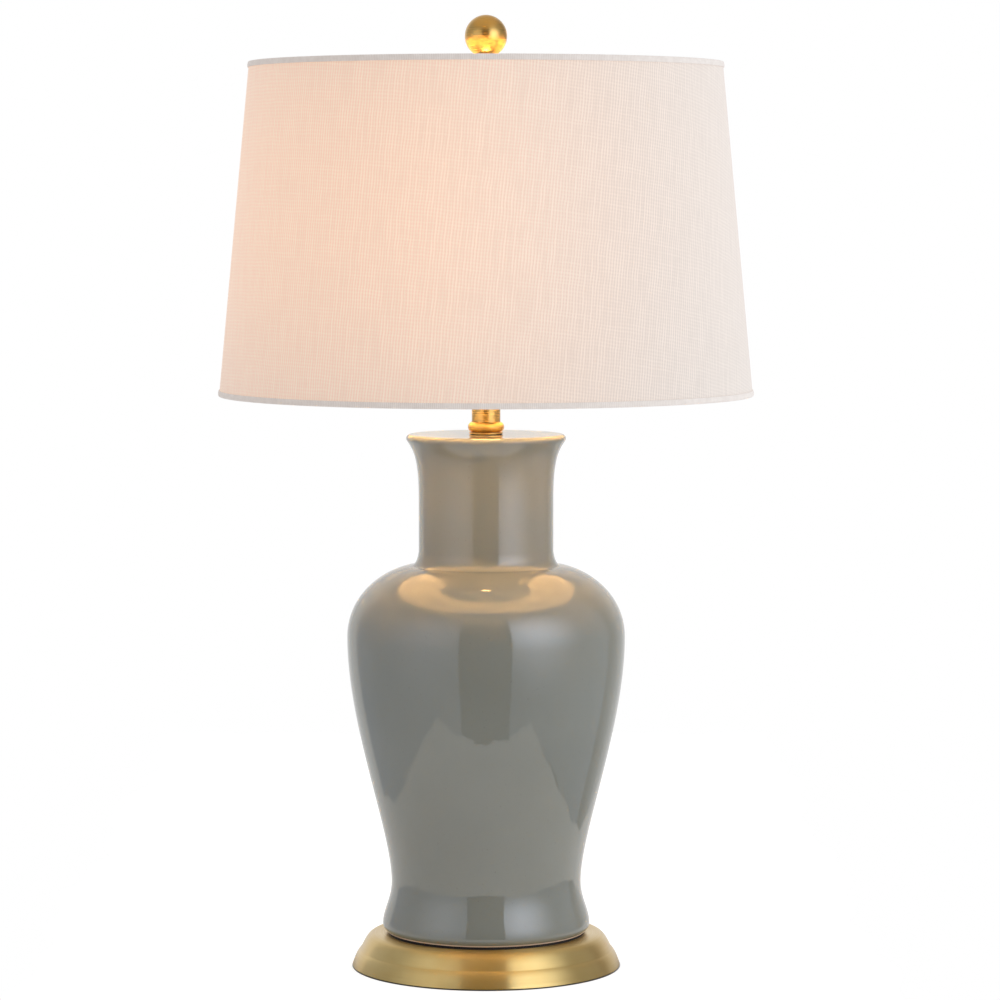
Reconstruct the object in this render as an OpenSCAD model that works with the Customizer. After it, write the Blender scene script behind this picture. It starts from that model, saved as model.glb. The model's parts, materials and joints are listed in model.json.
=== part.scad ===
// Table lamp: glazed ceramic urn on a spun brass foot, with a harp, a linen drum shade and a ball finial.
// Millimetres, +Z up. The origin is the centre of the felt's underside, on the table.
// The harp's legs stand at -X and +X, the switch knob points to the front at -Y,
// and the cord's bushing is in the back of the foot at +Y.

/* [Whole lamp] */
// Overall height, from the table to the ball; the urn takes up the difference between its waist and belly
lamp_h = 724.8; // [690:0.1:760]

/* [Brass foot] */
// Thickness of the felt under the foot
felt_t = 2; // [1.5:0.1:3]
// Gap between the felt's edge and the inside of the foot's rim
felt_gap = 1.5; // [0.5:0.5:6]
// Height of the foot's rim above the table
rim_lift = 0.8; // [0.4:0.1:1.2]
// Diameter of the foot over its lower rim
foot_d = 205; // [198:1:215]
// Height of the brass foot
foot_h = 24.6; // [24:0.2:30]
// Sheet thickness of the spun brass
foot_wall = 1.2; // [0.8:0.1:1.6]
// Height of the small step between the lower and the upper band
step_h = 11.8; // [10:0.2:14]
// Depth of that step
step_in = 0.5; // [0.3:0.1:1.5]
// Rise of the step's narrow ledge
step_rise = 0.5; // [0.2:0.1:0.8]
// How far the lower band runs in from the rim to the step
band_in = 5.9; // [4.5:0.1:8]
// How far the lower band leans in over its steep part
band_lean = 1.9; // [0:0.1:3]
// Height of that steep part
band_rise = 5.7; // [4:0.1:8]
// How far the lower band's upper edge rounds in
band_round_in = 2.4; // [0.5:0.1:3]
// How far under the step that rounding starts
band_round_h = 2.2; // [1:0.1:5]
// How far the upper band leans in over its steep part
upper_lean = 5; // [1:0.1:6]
// Height of that steep part
upper_rise = 10.3; // [5:0.1:11]
// Softness of the edge between the upper band and the flat top
top_soft = 8.2; // [4:0.1:11]
// Brass that shows round the urn's foot
seat_margin = 2.3; // [1:0.1:5]
// Clearance round the iron weight
weight_gap = 5; // [2:0.5:10]
// Radius of the well for the nut in the weight
well_r = 17; // [15:0.5:20]
// Depth of that well
well_h = 12; // [10:0.5:14]

/* [Cord outlet] */
// Bore of the bushing that a cord passes through
outlet_d = 6.8; // [5:0.2:7.4]
// Wall of the bushing
outlet_wall = 1.6; // [1.2:0.1:2]
// Height of the outlet above the table
outlet_z = 9.2; // [8.6:0.1:9.8]
// Length of the bushing's barrel
outlet_l = 12; // [9:0.5:16]
// Width of the bushing's flange round its barrel
outlet_lip = 1.6; // [1:0.2:2]
// How far that flange stands past the foot's rim
outlet_lip_t = 1.4; // [1:0.1:2]
// How deep that flange reaches back to the sloping brass
outlet_lip_in = 4; // [3:0.5:6]

/* [Ceramic urn] */
// Wall of the ceramic
urn_wall = 6; // [5:0.5:8]
// Diameter of the urn's foot
urn_foot_d = 158.4; // [150:0.2:164]
// Height of the foot's widest place
urn_foot_h = 5; // [4:0.5:7]
// Diameter at the waist above the foot
waist_d = 145; // [138:0.2:150]
// Height from the foot's widest place to the waist
waist_h = 32.4; // [26:0.2:40]
// Diameter at the belly
belly_d = 212; // [200:0.2:220]
// Diameter where the shoulder meets the neck
shoulder_d = 113.4; // [110:0.2:120]
// Height from the belly to the shoulder's end
shoulder_h = 54.8; // [48:0.2:62]
// Slope of the shoulder at its end, in degrees
shoulder_slope = 7.3; // [4:0.1:12]
// Height of the soft corner between the shoulder and the neck
corner_h = 13; // [10:0.2:16]
// Diameter of the neck
neck_d = 102.6; // [96:0.2:106]
// Height of the straight part of the neck
neck_h = 39; // [30:0.5:50]
// Height from the straight neck to the lip's widest place
lip_h = 45.1; // [38:0.1:52]
// Diameter at the lip
lip_d = 121.6; // [114:0.2:130]
// Lean of the flare under the lip, in degrees from upright
lip_lean = 33; // [20:1:40]
// Radius of the lip's round edge
lip_round = 3; // [2:0.1:3.5]
// Where the foot's rounding starts, in degrees below its widest place
foot_round_a = 60; // [40:5:80]
// Fullness of the foot above its widest place
foot_full = 10; // [6:0.5:14]
// Fullness of the waist below its narrowest place
waist_down = 14; // [8:0.5:20]
// Fullness of the waist above its narrowest place
waist_up = 38.6; // [28:0.2:50]
// Fullness of the body under the belly
belly_down = 68; // [50:0.5:80]
// Fullness of the body over the belly
belly_up = 33; // [26:0.5:38]
// Length of the shoulder's almost straight run
shoulder_run = 21.4; // [14:0.2:26]
// Softness of the corner between the shoulder and the neck
corner_run = 3; // [1:0.1:4]
// Fullness of the neck where it starts to flare
neck_up = 31; // [20:0.5:34]
// Length of the flare's straight run under the lip
lip_run = 8; // [4:0.5:12]

/* [Neck fittings] */
// Outside diameter of the threaded lamp pipe
pipe_d = 9.8; // [9.5:0.1:10]
// Bore of the pipe
pipe_bore = 7.2; // [6.5:0.1:7.4]
// Height of the pipe's lower end above the felt
pipe_lift = 3; // [1:0.5:5]
// How far the pipe stands past the hub into the socket's cap
pipe_past = 1.5; // [0.5:0.1:3]
// Thickness of the pad between the foot and the urn
pad_t = 2.2; // [1:0.1:3]
// How far that pad's edge lies inside the urn's foot
pad_inset = 4; // [3:0.5:8]
// Width of that pad's ring
pad_w = 12; // [8:0.5:20]
// Thickness of the soft washer on the urn's top
soft_t = 0.6; // [0.5:0.1:1.5]
// How far the soft washer's edge lies inside the check ring
soft_inset = 1; // [0.5:0.1:2]
// Thickness of the brass check ring
ring_t = 1; // [0.8:0.1:2.5]
// Diameter of the check ring
ring_d = 26; // [22:0.2:27]
// Height of the rounded collar
collar_h = 8.1; // [6:0.1:10]
// Diameter of the collar
collar_d = 27.6; // [27:0.2:33]
// Diameter of the neck tube
tube_d = 21.8; // [20:0.1:24]
// Height of the neck tube
tube_h = 29.5; // [20:0.5:60]
// Wall of the neck tube
tube_wall = 1; // [0.8:0.1:1.5]
// Thickness of the neck tube's closed top
tube_top_t = 2; // [1:0.1:3]
// Depth of the seat that the tube stands in
tube_seat = 1.2; // [0.8:0.1:2]
// Across flats of the hexagonal nuts
nut_af = 14.3; // [13:0.1:16]
// Thickness of the nuts
nut_t = 3; // [2.5:0.1:4]
// Diameter of the steel washer in the foot
washer_d = 28; // [24:0.5:29.5]
// Thickness of that washer
washer_t = 1.5; // [1:0.1:2]

/* [Socket] */
// Wall of the brass cap and shell
brass_t = 0.6; // [0.5:0.05:0.8]
// Height of the cap's hub on the pipe
hub_h = 5; // [4:0.2:7]
// Diameter of that hub
hub_d = 15; // [14:0.2:17]
// Height of the cap's dome
dome_h = 11; // [9:0.5:14]
// Height of the cap's straight rim
cap_rim_h = 8; // [6:0.5:10]
// Height of the shell above the cap's rim
shell_h = 37; // [34.5:0.5:42]
// Thickness of the fibre sleeve in the shell
sleeve_t = 0.7; // [0.5:0.05:1]
// Wall of the moulded socket body round the threaded shell
mould_wall = 1; // [0.8:0.1:1.5]
// Height of the moulded body above the cap's dome
mould_lift = 1.5; // [1:0.1:2]
// Height of the moulded socket body
mould_h = 20; // [18:0.5:22]
// Wall of the threaded shell that the lamp screws into
thread_t = 0.4; // [0.3:0.05:0.6]
// Height of that threaded shell
thread_h = 21; // [19:0.5:22.5]
// Thickness of the centre contact's strip
contact_t = 0.6; // [0.4:0.1:0.8]
// Height of that contact above the threaded shell's floor
contact_rise = 1.6; // [1.2:0.1:2.4]
// Diameter of the switch spindle
spindle_d = 4; // [3.5:0.1:4.5]
// Distance of the spindle's inner end from the middle
spindle_in = 5; // [4.5:0.5:7]
// Length of the spindle inside the knob
spindle_grip = 8; // [6:0.5:10]
// Gap round the spindle in the shell and the sleeve
spindle_gap = 1; // [0.5:0.1:1.5]
// Diameter of the switch knob
knob_d = 12; // [10:0.2:14]
// Length of the switch knob
knob_l = 15; // [12:0.5:20]
// Distance from the shell to the knob
knob_gap = 2.5; // [1.5:0.1:4]
// Grooves round the knob
knob_flutes = 14; // [8:1:18]

// Softness of the cap's dome, where it leaves the hub and where it meets the rim
dome_soft = 6; // [3:0.5:7]
// Shank of the cap's set screw and of the wire screws
screw_shank_d = 3; // [2.5:0.1:3.5]
// Diameter of the wire screws' heads
wire_head_d = 6.8; // [6:0.2:7.4]
// Height of the wire screws above the mould's foot
wire_screw_h = 7; // [5:0.5:8]
// Distance of the mould's flat sides from its middle
mould_flat = 10.6; // [10:0.1:12]
// Width of those flat sides
mould_flat_w = 10; // [8:0.5:12]
// Thickness of the mould over its flat sides
mould_top_t = 6; // [4:0.5:8]
// Height of the switch spindle above the cap's rim
switch_h = 4; // [3:0.5:6]

/* [Lamp bulb] */
// Diameter of the screw cap
screw_d = 26.2; // [25:0.1:27]
// Height of the screw cap
screw_h = 21.5; // [20:0.5:24]
// Height of the black insulator under the screw cap
insulator_h = 3.2; // [2.5:0.1:4]
// Diameter of the tip contact
tip_d = 9; // [7:0.2:10]
// Thickness of the tip contact
tip_t = 1.4; // [1:0.1:2]
// How far the tip stands out of the insulator
tip_proud = 0.6; // [0.4:0.1:0.8]
// Wall of the screw cap
cap_wall = 0.6; // [0.4:0.1:0.8]
// Diameter of the globe
globe_d = 60; // [50:0.5:70]
// Height of the plastic body between the cap and the globe
bulb_body_h = 32; // [26:0.5:38]
// Wall of the globe
globe_wall = 1.2; // [1:0.1:2]
// Height of the globe's centre above the plastic body
globe_rise = 21; // [18:0.5:26]

/* [Harp] */
// Height of the harp from its saddle to its top
harp_h = 228.6; // [215:0.5:260]
// Distance between the harp's two legs
leg_gap = 57.2; // [52:0.2:62]
// Diameter of the harp's wire
harp_wire_d = 3.6; // [3.2:0.1:4]
// Thickness of the saddle strip
saddle_t = 1.6; // [1.2:0.1:2]
// Width of the saddle strip
saddle_w = 13; // [12.5:0.5:16]
// Bend radius of the saddle strip, on its outside
saddle_bend = 5; // [3:0.5:6]
// Height of the saddle's two upright ends
saddle_up = 12; // [9:0.5:16]
// Length of the sleeves that lock the legs
lock_l = 18; // [14:0.5:20]
// Wall of those sleeves
lock_wall = 1; // [0.8:0.1:1.4]
// Travel of those sleeves
lock_travel = 12; // [10:0.5:14]
// Straight wire left over a sleeve at the end of its travel
lock_spare = 2; // [1:0.5:4]
// Lean of the legs outwards, in degrees
harp_lean = 28; // [24:0.5:32]
// Lean of the legs inwards at the top, in degrees
harp_close = 22; // [18:0.5:24]
// Bend radius at the foot of the legs
harp_foot_r = 30; // [20:1:40]
// Bend radius at the top corners
harp_corner_r = 32; // [26:0.5:36]
// Diameter of the eye for the swivelling seat
eye_d = 12; // [10:0.5:14]
// Thickness of that eye
eye_t = 4.2; // [4.2:0.1:5]
// Diameter of the swivelling seat
seat_d = 17; // [15:0.5:20]
// Thickness of that seat
seat_t = 1.6; // [1.2:0.1:2.5]
// Diameter of the threaded stud on the seat
stud_d = 6.2; // [5.8:0.1:6.4]
// Diameter of the rivet under the seat
rivet_d = 4; // [3.5:0.1:4.5]
// Width of the rivet's head round its shank
rivet_head = 1.2; // [0.8:0.1:2]
// Thickness of the rivet's head
rivet_head_t = 1.5; // [1:0.1:2]

/* [Shade] */
// Outside diameter at the top rim
shade_top_d = 358.8; // [330:0.2:390]
// Outside diameter at the bottom rim
shade_bottom_d = 406.4; // [380:0.2:430]
// Height of the shade
shade_h = 251.8; // [230:0.2:270]
// Drop of the spider's hub below the top rim
spider_drop = 10.1; // [9:0.1:18]
// Thickness of the linen
linen_t = 0.6; // [0.4:0.1:0.8]
// Thickness of the stiff liner
liner_t = 0.8; // [0.6:0.1:1]
// Thickness of the edge tapes
tape_t = 0.8; // [0.5:0.1:1]
// Height of the edge tapes on the outside
tape_h = 4.6; // [3.5:0.1:8]
// Height of the edge tapes on the inside
tape_in_h = 5.4; // [5:0.1:8]
// Diameter of the wire of both rings
ring_wire_d = 2.8; // [2.4:0.1:3.2]
// Number of spider arms
arms = 3; // [3:1:4]
// Drop of the arms' outer ends under the top ring's middle
arm_drop = 0.4; // [0.2:0.1:0.8]
// Diameter of the arm wire
arm_d = 3; // [2.4:0.1:3.2]
// Diameter of the spider's hub
spider_d = 25; // [22:0.5:30]
// Thickness of the spider's hub
spider_t = 3.2; // [3.2:0.1:4]

/* [Finial] */
// Diameter of the ball
ball_d = 32; // [26:0.2:36]
// Height of the stem under the ball, up to the ball's flat
stem_h = 14.3; // [12.5:0.1:18]
// Diameter of the stem's foot
stem_foot_d = 16; // [14:0.2:20]
// Height of that foot's straight edge
stem_foot_h = 2; // [1.5:0.1:3]
// Diameter of the stem's slender part
stem_d = 12; // [11.6:0.1:13]
// Diameter of the stem where it meets the ball
stem_top_d = 10; // [9:0.2:12]
// Diameter of the threaded insert
insert_d = 9.2; // [8.8:0.1:9.6]
// Height of the threaded insert
insert_h = 10; // [9:0.1:10.5]
// Thread of the stud that the insert grips
grip_h = 8.4; // [7:0.1:8.8]

/* [Clearances] */
// Radial clearance of a running fit
run_fit = 0.06; // [0.02:0.01:0.1]
// Radial clearance of a part that slips over another
slip_fit = 0.4; // [0.3:0.05:0.5]
// Radial clearance between nested still parts
nest_fit = 0.2; // [0.1:0.05:0.3]
// Gap under parts that turn or lift off
lift_gap = 0.3; // [0.2:0.05:0.4]

/* [Hidden] */
$fn = 96;
eps = 0.01;
over = 1;
curve_steps = 12;

// Radius of the ball, and its centre's height over its flat on the stem, to a tenth
ball_r = ball_d / 2;
ball_rise = round(10 * sqrt(pow(ball_r, 2) - pow(stem_top_d / 2, 2))) / 10;

// Heights, from the table upwards
foot_top_z = rim_lift + foot_h;
urn_z = foot_top_z + pad_t;
urn_waist_z = urn_z + urn_foot_h + waist_h;
neck_fittings_h = soft_t + ring_t + collar_h - tube_seat + tube_h;
shade_fittings_h = harp_h + seat_t + spider_t + stem_h + ball_rise + ball_r;
urn_top_z = lamp_h - shade_fittings_h - neck_fittings_h;
urn_lip_z = urn_top_z - lip_round;
lip_low = [lip_d / 2 - lip_round * (1 - cos(lip_lean)), urn_lip_z - lip_round * sin(lip_lean)];
urn_neck_z = urn_lip_z - lip_h - neck_h;
urn_shoulder_z = urn_neck_z - corner_h;
urn_belly_z = urn_shoulder_z - shoulder_h;
ring_z = urn_top_z + soft_t;
collar_z = ring_z + ring_t;
tube_z = collar_z + collar_h - tube_seat;
saddle_z = tube_z + tube_h;
nut_z = saddle_z + saddle_t;
cap_z = nut_z + nut_t;
dome_z = cap_z + hub_h;
rim_z = dome_z + dome_h;
shell_top_z = rim_z + cap_rim_h + shell_h;
pipe_bottom_z = felt_t + pipe_lift;
pipe_top_z = dome_z + pipe_past;
well_top_z = felt_t + well_h;

// Direction of the shoulder at its end, outwards and down
shoulder_way = [cos(shoulder_slope), -sin(shoulder_slope)];

// Radii of the fits round the pipe
pipe_r = pipe_d / 2;
pipe_hole_r = pipe_r + nest_fit;

// Brass foot, rim to seat
foot_r = foot_d / 2;
foot_seat_r = urn_foot_d / 2 + seat_margin;
step_z = rim_lift + step_h;
step_r = foot_r - band_in;
upper_r = step_r - step_in;

// Socket, from the screw cap outwards
screw_r = screw_d / 2;
thread_r = screw_r + nest_fit;
mould_r = thread_r + thread_t + mould_wall;
sleeve_r = mould_r + nest_fit;
shell_r = sleeve_r + sleeve_t + nest_fit;
cap_r = shell_r + brass_t + nest_fit;
mould_z = rim_z + mould_lift;
thread_z = mould_z + mould_h;
contact_top_z = thread_z + thread_t + contact_rise;
wire_screw_x = 7;
switch_z = rim_z + cap_rim_h + switch_h;

// Lamp bulb, from its tip upwards
bulb_z = contact_top_z;
insulator_z = bulb_z + tip_proud;
screw_z = insulator_z + insulator_h;
body_z = screw_z + screw_h;
bulb_neck_r = screw_r - cap_wall;
globe_r = globe_d / 2;
globe_z = body_z + bulb_body_h + globe_rise;
globe_cut_r = sqrt(pow(globe_r, 2) - pow(globe_rise, 2));

// Harp: one leg is a straight foot, a bend out, a long bow in, a top corner and a straight to the eye
harp_r = harp_wire_d / 2;
leg_x = leg_gap / 2;
joint_z = saddle_z + saddle_up + lock_l / 2 + lift_gap;
lock_z = joint_z - lock_l / 2;
leg_up = lock_l / 2 + lock_travel + lock_spare;
harp_top_z = saddle_z + harp_h;
harp_axis_z = harp_top_z - eye_t / 2;
harp_rise = harp_axis_z - joint_z - leg_up;
harp_bow_r = (harp_rise - harp_foot_r * sin(harp_lean) - harp_corner_r * (1 - sin(harp_close)))
             / (sin(harp_lean) + sin(harp_close));
bend_x = leg_x + harp_foot_r;
bow_x = bend_x - (harp_foot_r + harp_bow_r) * cos(harp_lean);
bend_z = joint_z + leg_up;
bow_z = bend_z + (harp_foot_r + harp_bow_r) * sin(harp_lean);
corner_z = harp_axis_z - harp_corner_r;
corner_x = bow_x + (harp_bow_r - harp_corner_r) * cos(harp_close);

// Seat, spider and finial on the harp's top
stud_r = stud_d / 2;
rivet_r = rivet_d / 2;
seat_top_z = harp_top_z + seat_t;
spider_z = seat_top_z;
spider_top_z = spider_z + spider_t;
spider_r = spider_d / 2;
stud_top_z = spider_top_z + grip_h;
insert_r = insert_d / 2;
stem_z = spider_top_z;
stem_top_z = stem_z + stem_h;
ball_z = stem_top_z + ball_rise;

// Shade: the linen's outside is a cone set in by the tape
shade_top_z = spider_top_z + spider_drop;
shade_bottom_z = shade_top_z - shade_h;
linen_top_z = shade_top_z - tape_t;
linen_bottom_z = shade_bottom_z + tape_t;
liner_out = linen_t;
wall_t = linen_t + liner_t;
ring_wire_r = ring_wire_d / 2;
top_ring_z = linen_top_z - ring_wire_r;
bottom_ring_z = linen_bottom_z + ring_wire_r;

// Radius of the linen's outside at a height
function shade_r(z) =
  shade_bottom_d / 2 - tape_t + (shade_top_d - shade_bottom_d) / 2 * (z - shade_bottom_z) / shade_h;

top_ring_r = shade_r(top_ring_z) - wall_t - ring_wire_r - nest_fit;
bottom_ring_r = shade_r(bottom_ring_z) - wall_t - ring_wire_r - nest_fit;

// Points of a cubic curve with the four control points p
function curve(p) = [
  for (i = [0:curve_steps])
    let (t = i / curve_steps, s = 1 - t)
      s * s * s * p[0] + 3 * s * s * t * p[1] + 3 * s * t * t * p[2] + t * t * t * p[3]
];

// Points of an arc in degrees about a centre
function arc(c, r, a0, a1, n = 6) = [
  for (i = [0:n])
    let (a = a0 + (a1 - a0) * i / n)
      c + r * [cos(a), sin(a)]
];

// A profile that runs upwards, moved towards the axis side by a wall's thickness
function inset(p, d) = [
  for (i = [0:len(p) - 1])
    let (a = p[max(i - 1, 0)], b = p[min(i + 1, len(p) - 1)], u = (b - a) / norm(b - a))
      p[i] + d * [-u[1], u[0]]
];

// All but the first point, so that two stretches join in one shared point
function rest(p) = [for (i = [1:len(p) - 1]) p[i]];

// The same points from the last to the first
function reverse(p) = [for (i = [len(p) - 1:-1:0]) p[i]];

// Outside of the brass foot, from its rim up to its flat top
function foot_outside() = concat(
  curve([[foot_r, rim_lift], [foot_r - band_lean, rim_lift + band_rise],
         [step_r + band_round_in, step_z - band_round_h], [step_r, step_z]]),
  curve([[upper_r, step_z + step_rise], [upper_r - upper_lean, step_z + step_rise + upper_rise],
         [foot_seat_r + top_soft, foot_top_z], [foot_seat_r, foot_top_z]])
);

// Outside of the urn, from its foot up to where the lip's round edge starts
function urn_outside() = concat(
  arc([urn_foot_d / 2 - urn_foot_h, urn_z + urn_foot_h], urn_foot_h, -foot_round_a, 0),
  rest(curve([[urn_foot_d / 2, urn_z + urn_foot_h], [urn_foot_d / 2, urn_z + urn_foot_h + foot_full],
              [waist_d / 2, urn_waist_z - waist_down], [waist_d / 2, urn_waist_z]])),
  rest(curve([[waist_d / 2, urn_waist_z], [waist_d / 2, urn_waist_z + waist_up],
              [belly_d / 2, urn_belly_z - belly_down], [belly_d / 2, urn_belly_z]])),
  rest(curve([[belly_d / 2, urn_belly_z], [belly_d / 2, urn_belly_z + belly_up],
              [shoulder_d / 2, urn_shoulder_z] + shoulder_run * shoulder_way,
              [shoulder_d / 2, urn_shoulder_z]])),
  rest(curve([[shoulder_d / 2, urn_shoulder_z], [shoulder_d / 2, urn_shoulder_z] - corner_run * shoulder_way,
              [neck_d / 2, urn_neck_z - corner_h / 2], [neck_d / 2, urn_neck_z]])),
  curve([[neck_d / 2, urn_neck_z + neck_h], [neck_d / 2, urn_neck_z + neck_h + neck_up],
         lip_low - lip_run * [sin(lip_lean), cos(lip_lean)], lip_low])
);

// Shapes that several pieces share

module ring(r_out, r_in, h) {
  difference() {
    cylinder(r = r_out, h = h);
    translate([0, 0, -over]) cylinder(r = r_in, h = h + 2 * over);
  }
}

module at(z) {
  translate([0, 0, z]) children();
}

module hex_nut() {
  difference() {
    cylinder(r = nut_af / sqrt(3), h = nut_t, $fn = 6);
    at(-over) cylinder(r = pipe_hole_r, h = nut_t + 2 * over);
  }
}

// A straight wire in the plane of X and Z, from one point to another
module wire_run(p, q, r) {
  u = q - p;
  translate([p[0], 0, p[1]]) rotate([0, atan2(u[0], u[1]), 0]) cylinder(r = r, h = norm(u));
}

// A bent wire in the plane of X and Z, about a centre, between two angles counted from +X towards +Z
module wire_bend(c, bend_r, a0, a1, r) {
  translate([c[0], 0, c[1]]) rotate([90, 0, 0]) rotate([0, 0, a0])
    rotate_extrude(angle = a1 - a0) translate([bend_r, 0]) circle(r = r);
}

// A hair thicker stretch of wire that welds two stretches where they meet on a bend
module wire_weld(c, bend_r, a, r) {
  p = c + bend_r * [cos(a), sin(a)];
  u = 0.5 * [-sin(a), cos(a)];
  wire_run(p - u, p + u, r + 2 * eps);
}

// Brass foot and what is inside it

module felt_pad() {
  color("darkslategray") cylinder(r = foot_r - foot_wall - felt_gap, h = felt_t);
}

module brass_foot() {
  outside = foot_outside();
  inside = inset(outside, foot_wall);
  color("darkgoldenrod") difference() {
    rotate_extrude() polygon(concat(
      [[pipe_hole_r, foot_top_z - foot_wall]],
      reverse(inside),
      outside,
      [[pipe_hole_r, foot_top_z]]
    ));
    at(outlet_z) rotate([-90, 0, 0]) cylinder(r = outlet_d / 2 + outlet_wall + nest_fit, h = foot_r + over);
  }
}

module iron_weight() {
  color("dimgray") difference() {
    at(felt_t) cylinder(r = foot_seat_r - foot_wall - weight_gap, h = foot_top_z - foot_wall - felt_t);
    at(felt_t - over) cylinder(r = well_r, h = well_h + over);
    at(felt_t) cylinder(r = pipe_hole_r, h = foot_h);
    at(outlet_z) rotate([-90, 0, 0]) cylinder(r = outlet_d / 2 + outlet_wall, h = foot_r);
  }
}

module cord_bushing() {
  barrel_r = outlet_d / 2 + outlet_wall;
  end_y = foot_r + outlet_lip_t;
  color("black") difference() {
    union() {
      translate([0, end_y - outlet_l, outlet_z]) rotate([-90, 0, 0]) cylinder(r = barrel_r, h = outlet_l);
      difference() {
        translate([0, foot_r - outlet_lip_in, outlet_z]) rotate([-90, 0, 0])
          cylinder(r = barrel_r + outlet_lip, h = outlet_lip_t + outlet_lip_in);
        rotate_extrude() polygon(concat(
          [[0, 0], [foot_r + eps, 0]],
          [for (p = foot_outside()) p + [eps, 0]],
          [[0, foot_top_z]]
        ));
      }
    }
    translate([0, end_y - outlet_l - over, outlet_z]) rotate([-90, 0, 0])
      cylinder(r = outlet_d / 2, h = outlet_l + 2 * over);
  }
}

module foot_washer() {
  color("silver") at(well_top_z - washer_t) ring(washer_d / 2, pipe_hole_r, washer_t);
}

module foot_nut() {
  color("silver") at(well_top_z - washer_t - nut_t) hex_nut();
}

module lamp_pipe() {
  color("gray") at(pipe_bottom_z) ring(pipe_r, pipe_bore / 2, pipe_top_z - pipe_bottom_z);
}

// Urn and the fittings on its top

module urn_pad() {
  pad_r = urn_foot_d / 2 - pad_inset;
  color("saddlebrown") at(foot_top_z) ring(pad_r, pad_r - pad_w, pad_t);
}

module urn_body() {
  outside = urn_outside();
  floor_z = urn_z + urn_wall;
  roof_z = urn_top_z - urn_wall;
  hollow = [for (p = inset(outside, urn_wall)) if (p[1] > floor_z + eps && p[1] < roof_z - eps) p];
  color("gray") difference() {
    rotate_extrude() polygon(concat(
      [[0, urn_z], [outside[0][0], urn_z]],
      outside,
      rest(arc([lip_d / 2 - lip_round, urn_lip_z], lip_round, -lip_lean, 90, 10)),
      [[0, urn_top_z]]
    ));
    rotate_extrude() polygon(concat(
      [[0, floor_z], [hollow[0][0], floor_z]],
      hollow,
      [[hollow[len(hollow) - 1][0], roof_z], [0, roof_z]]
    ));
    at(urn_z - over) cylinder(r = pipe_hole_r, h = urn_top_z - urn_z + 2 * over);
  }
}

module soft_washer() {
  color("black") at(urn_top_z) ring(ring_d / 2 - soft_inset, pipe_hole_r, soft_t);
}

module check_ring() {
  color("goldenrod") at(ring_z) ring(ring_d / 2, pipe_hole_r, ring_t);
}

module neck_collar() {
  bead_r = collar_h / 2;
  color("goldenrod") difference() {
    at(collar_z) rotate_extrude() polygon(concat(
      [[pipe_hole_r, 0]],
      arc([collar_d / 2 - bead_r, bead_r], bead_r, -90, 90, 16),
      [[pipe_hole_r, collar_h]]
    ));
    at(tube_z) cylinder(r = tube_d / 2 + slip_fit, h = tube_seat + over);
  }
}

module neck_tube() {
  color("goldenrod") at(tube_z) difference() {
    cylinder(r = tube_d / 2, h = tube_h);
    at(-over) cylinder(r = tube_d / 2 - tube_wall, h = tube_h - tube_top_t + over);
    at(tube_h - tube_top_t - over) cylinder(r = pipe_hole_r, h = tube_top_t + 2 * over);
  }
}

// Harp

// Side view of the saddle strip: a flat bottom with two upright ends
module saddle_side() {
  half = leg_x + saddle_t / 2;
  for (side = [0, 1]) mirror([side, 0]) {
    square([half - saddle_bend, saddle_t]);
    translate([half - saddle_t, saddle_bend]) square([saddle_t, saddle_up - saddle_bend]);
    translate([half - saddle_bend, saddle_bend]) intersection() {
      difference() {
        circle(r = saddle_bend);
        circle(r = saddle_bend - saddle_t);
      }
      translate([0, -saddle_bend]) square(saddle_bend);
    }
  }
}

module harp_saddle() {
  color("goldenrod") {
    difference() {
      translate([0, saddle_w / 2, saddle_z]) rotate([90, 0, 0]) linear_extrude(saddle_w) saddle_side();
      at(saddle_z - over) cylinder(r = pipe_hole_r, h = saddle_t + 2 * over);
    }
    for (side = [-1, 1]) translate([side * leg_x, 0, saddle_z + saddle_up - saddle_t])
      cylinder(r = harp_r, h = joint_z - saddle_z - saddle_up + saddle_t);
  }
}

module saddle_nut() {
  color("silver") at(nut_z) hex_nut();
}

module harp_wire() {
  foot_bend = [bend_x, bend_z];
  bow = [bow_x, bow_z];
  corner = [corner_x, corner_z];
  color("goldenrod") difference() {
    union() {
      for (side = [0, 1]) mirror([side, 0, 0]) {
        wire_run([leg_x, joint_z], [leg_x, bend_z], harp_r);
        wire_bend(foot_bend, harp_foot_r, 180 - harp_lean, 180, harp_r);
        wire_bend(bow, harp_bow_r, -harp_lean, harp_close, harp_r);
        wire_bend(corner, harp_corner_r, harp_close, 90, harp_r);
        wire_run([corner_x, harp_axis_z], [0, harp_axis_z], harp_r);
        wire_weld(foot_bend, harp_foot_r, 180, harp_r);
        wire_weld(bow, harp_bow_r, -harp_lean, harp_r);
        wire_weld(bow, harp_bow_r, harp_close, harp_r);
        wire_weld(corner, harp_corner_r, 90, harp_r);
      }
      at(harp_top_z - eye_t) cylinder(r = eye_d / 2, h = eye_t);
    }
    at(harp_top_z - eye_t - over) cylinder(r = rivet_r + run_fit, h = eye_t + 2 * over);
  }
}

module harp_seat() {
  head_z = harp_top_z - eye_t;
  color("goldenrod") {
    at(harp_top_z) cylinder(r = seat_d / 2, h = seat_t);
    at(seat_top_z - eps) cylinder(r = stud_r, h = stud_top_z - seat_top_z + eps);
    at(head_z - eps) cylinder(r = rivet_r, h = eye_t + 2 * eps);
    at(head_z - rivet_head_t) cylinder(r = rivet_r + rivet_head, h = rivet_head_t);
  }
}

module lock_sleeve(side) {
  color("goldenrod") translate([side * leg_x, 0, lock_z])
    ring(harp_r + run_fit + lock_wall, harp_r + run_fit, lock_l);
}

module lock_sleeve_left() {
  lock_sleeve(-1);
}

module lock_sleeve_right() {
  lock_sleeve(1);
}

// Socket

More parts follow.
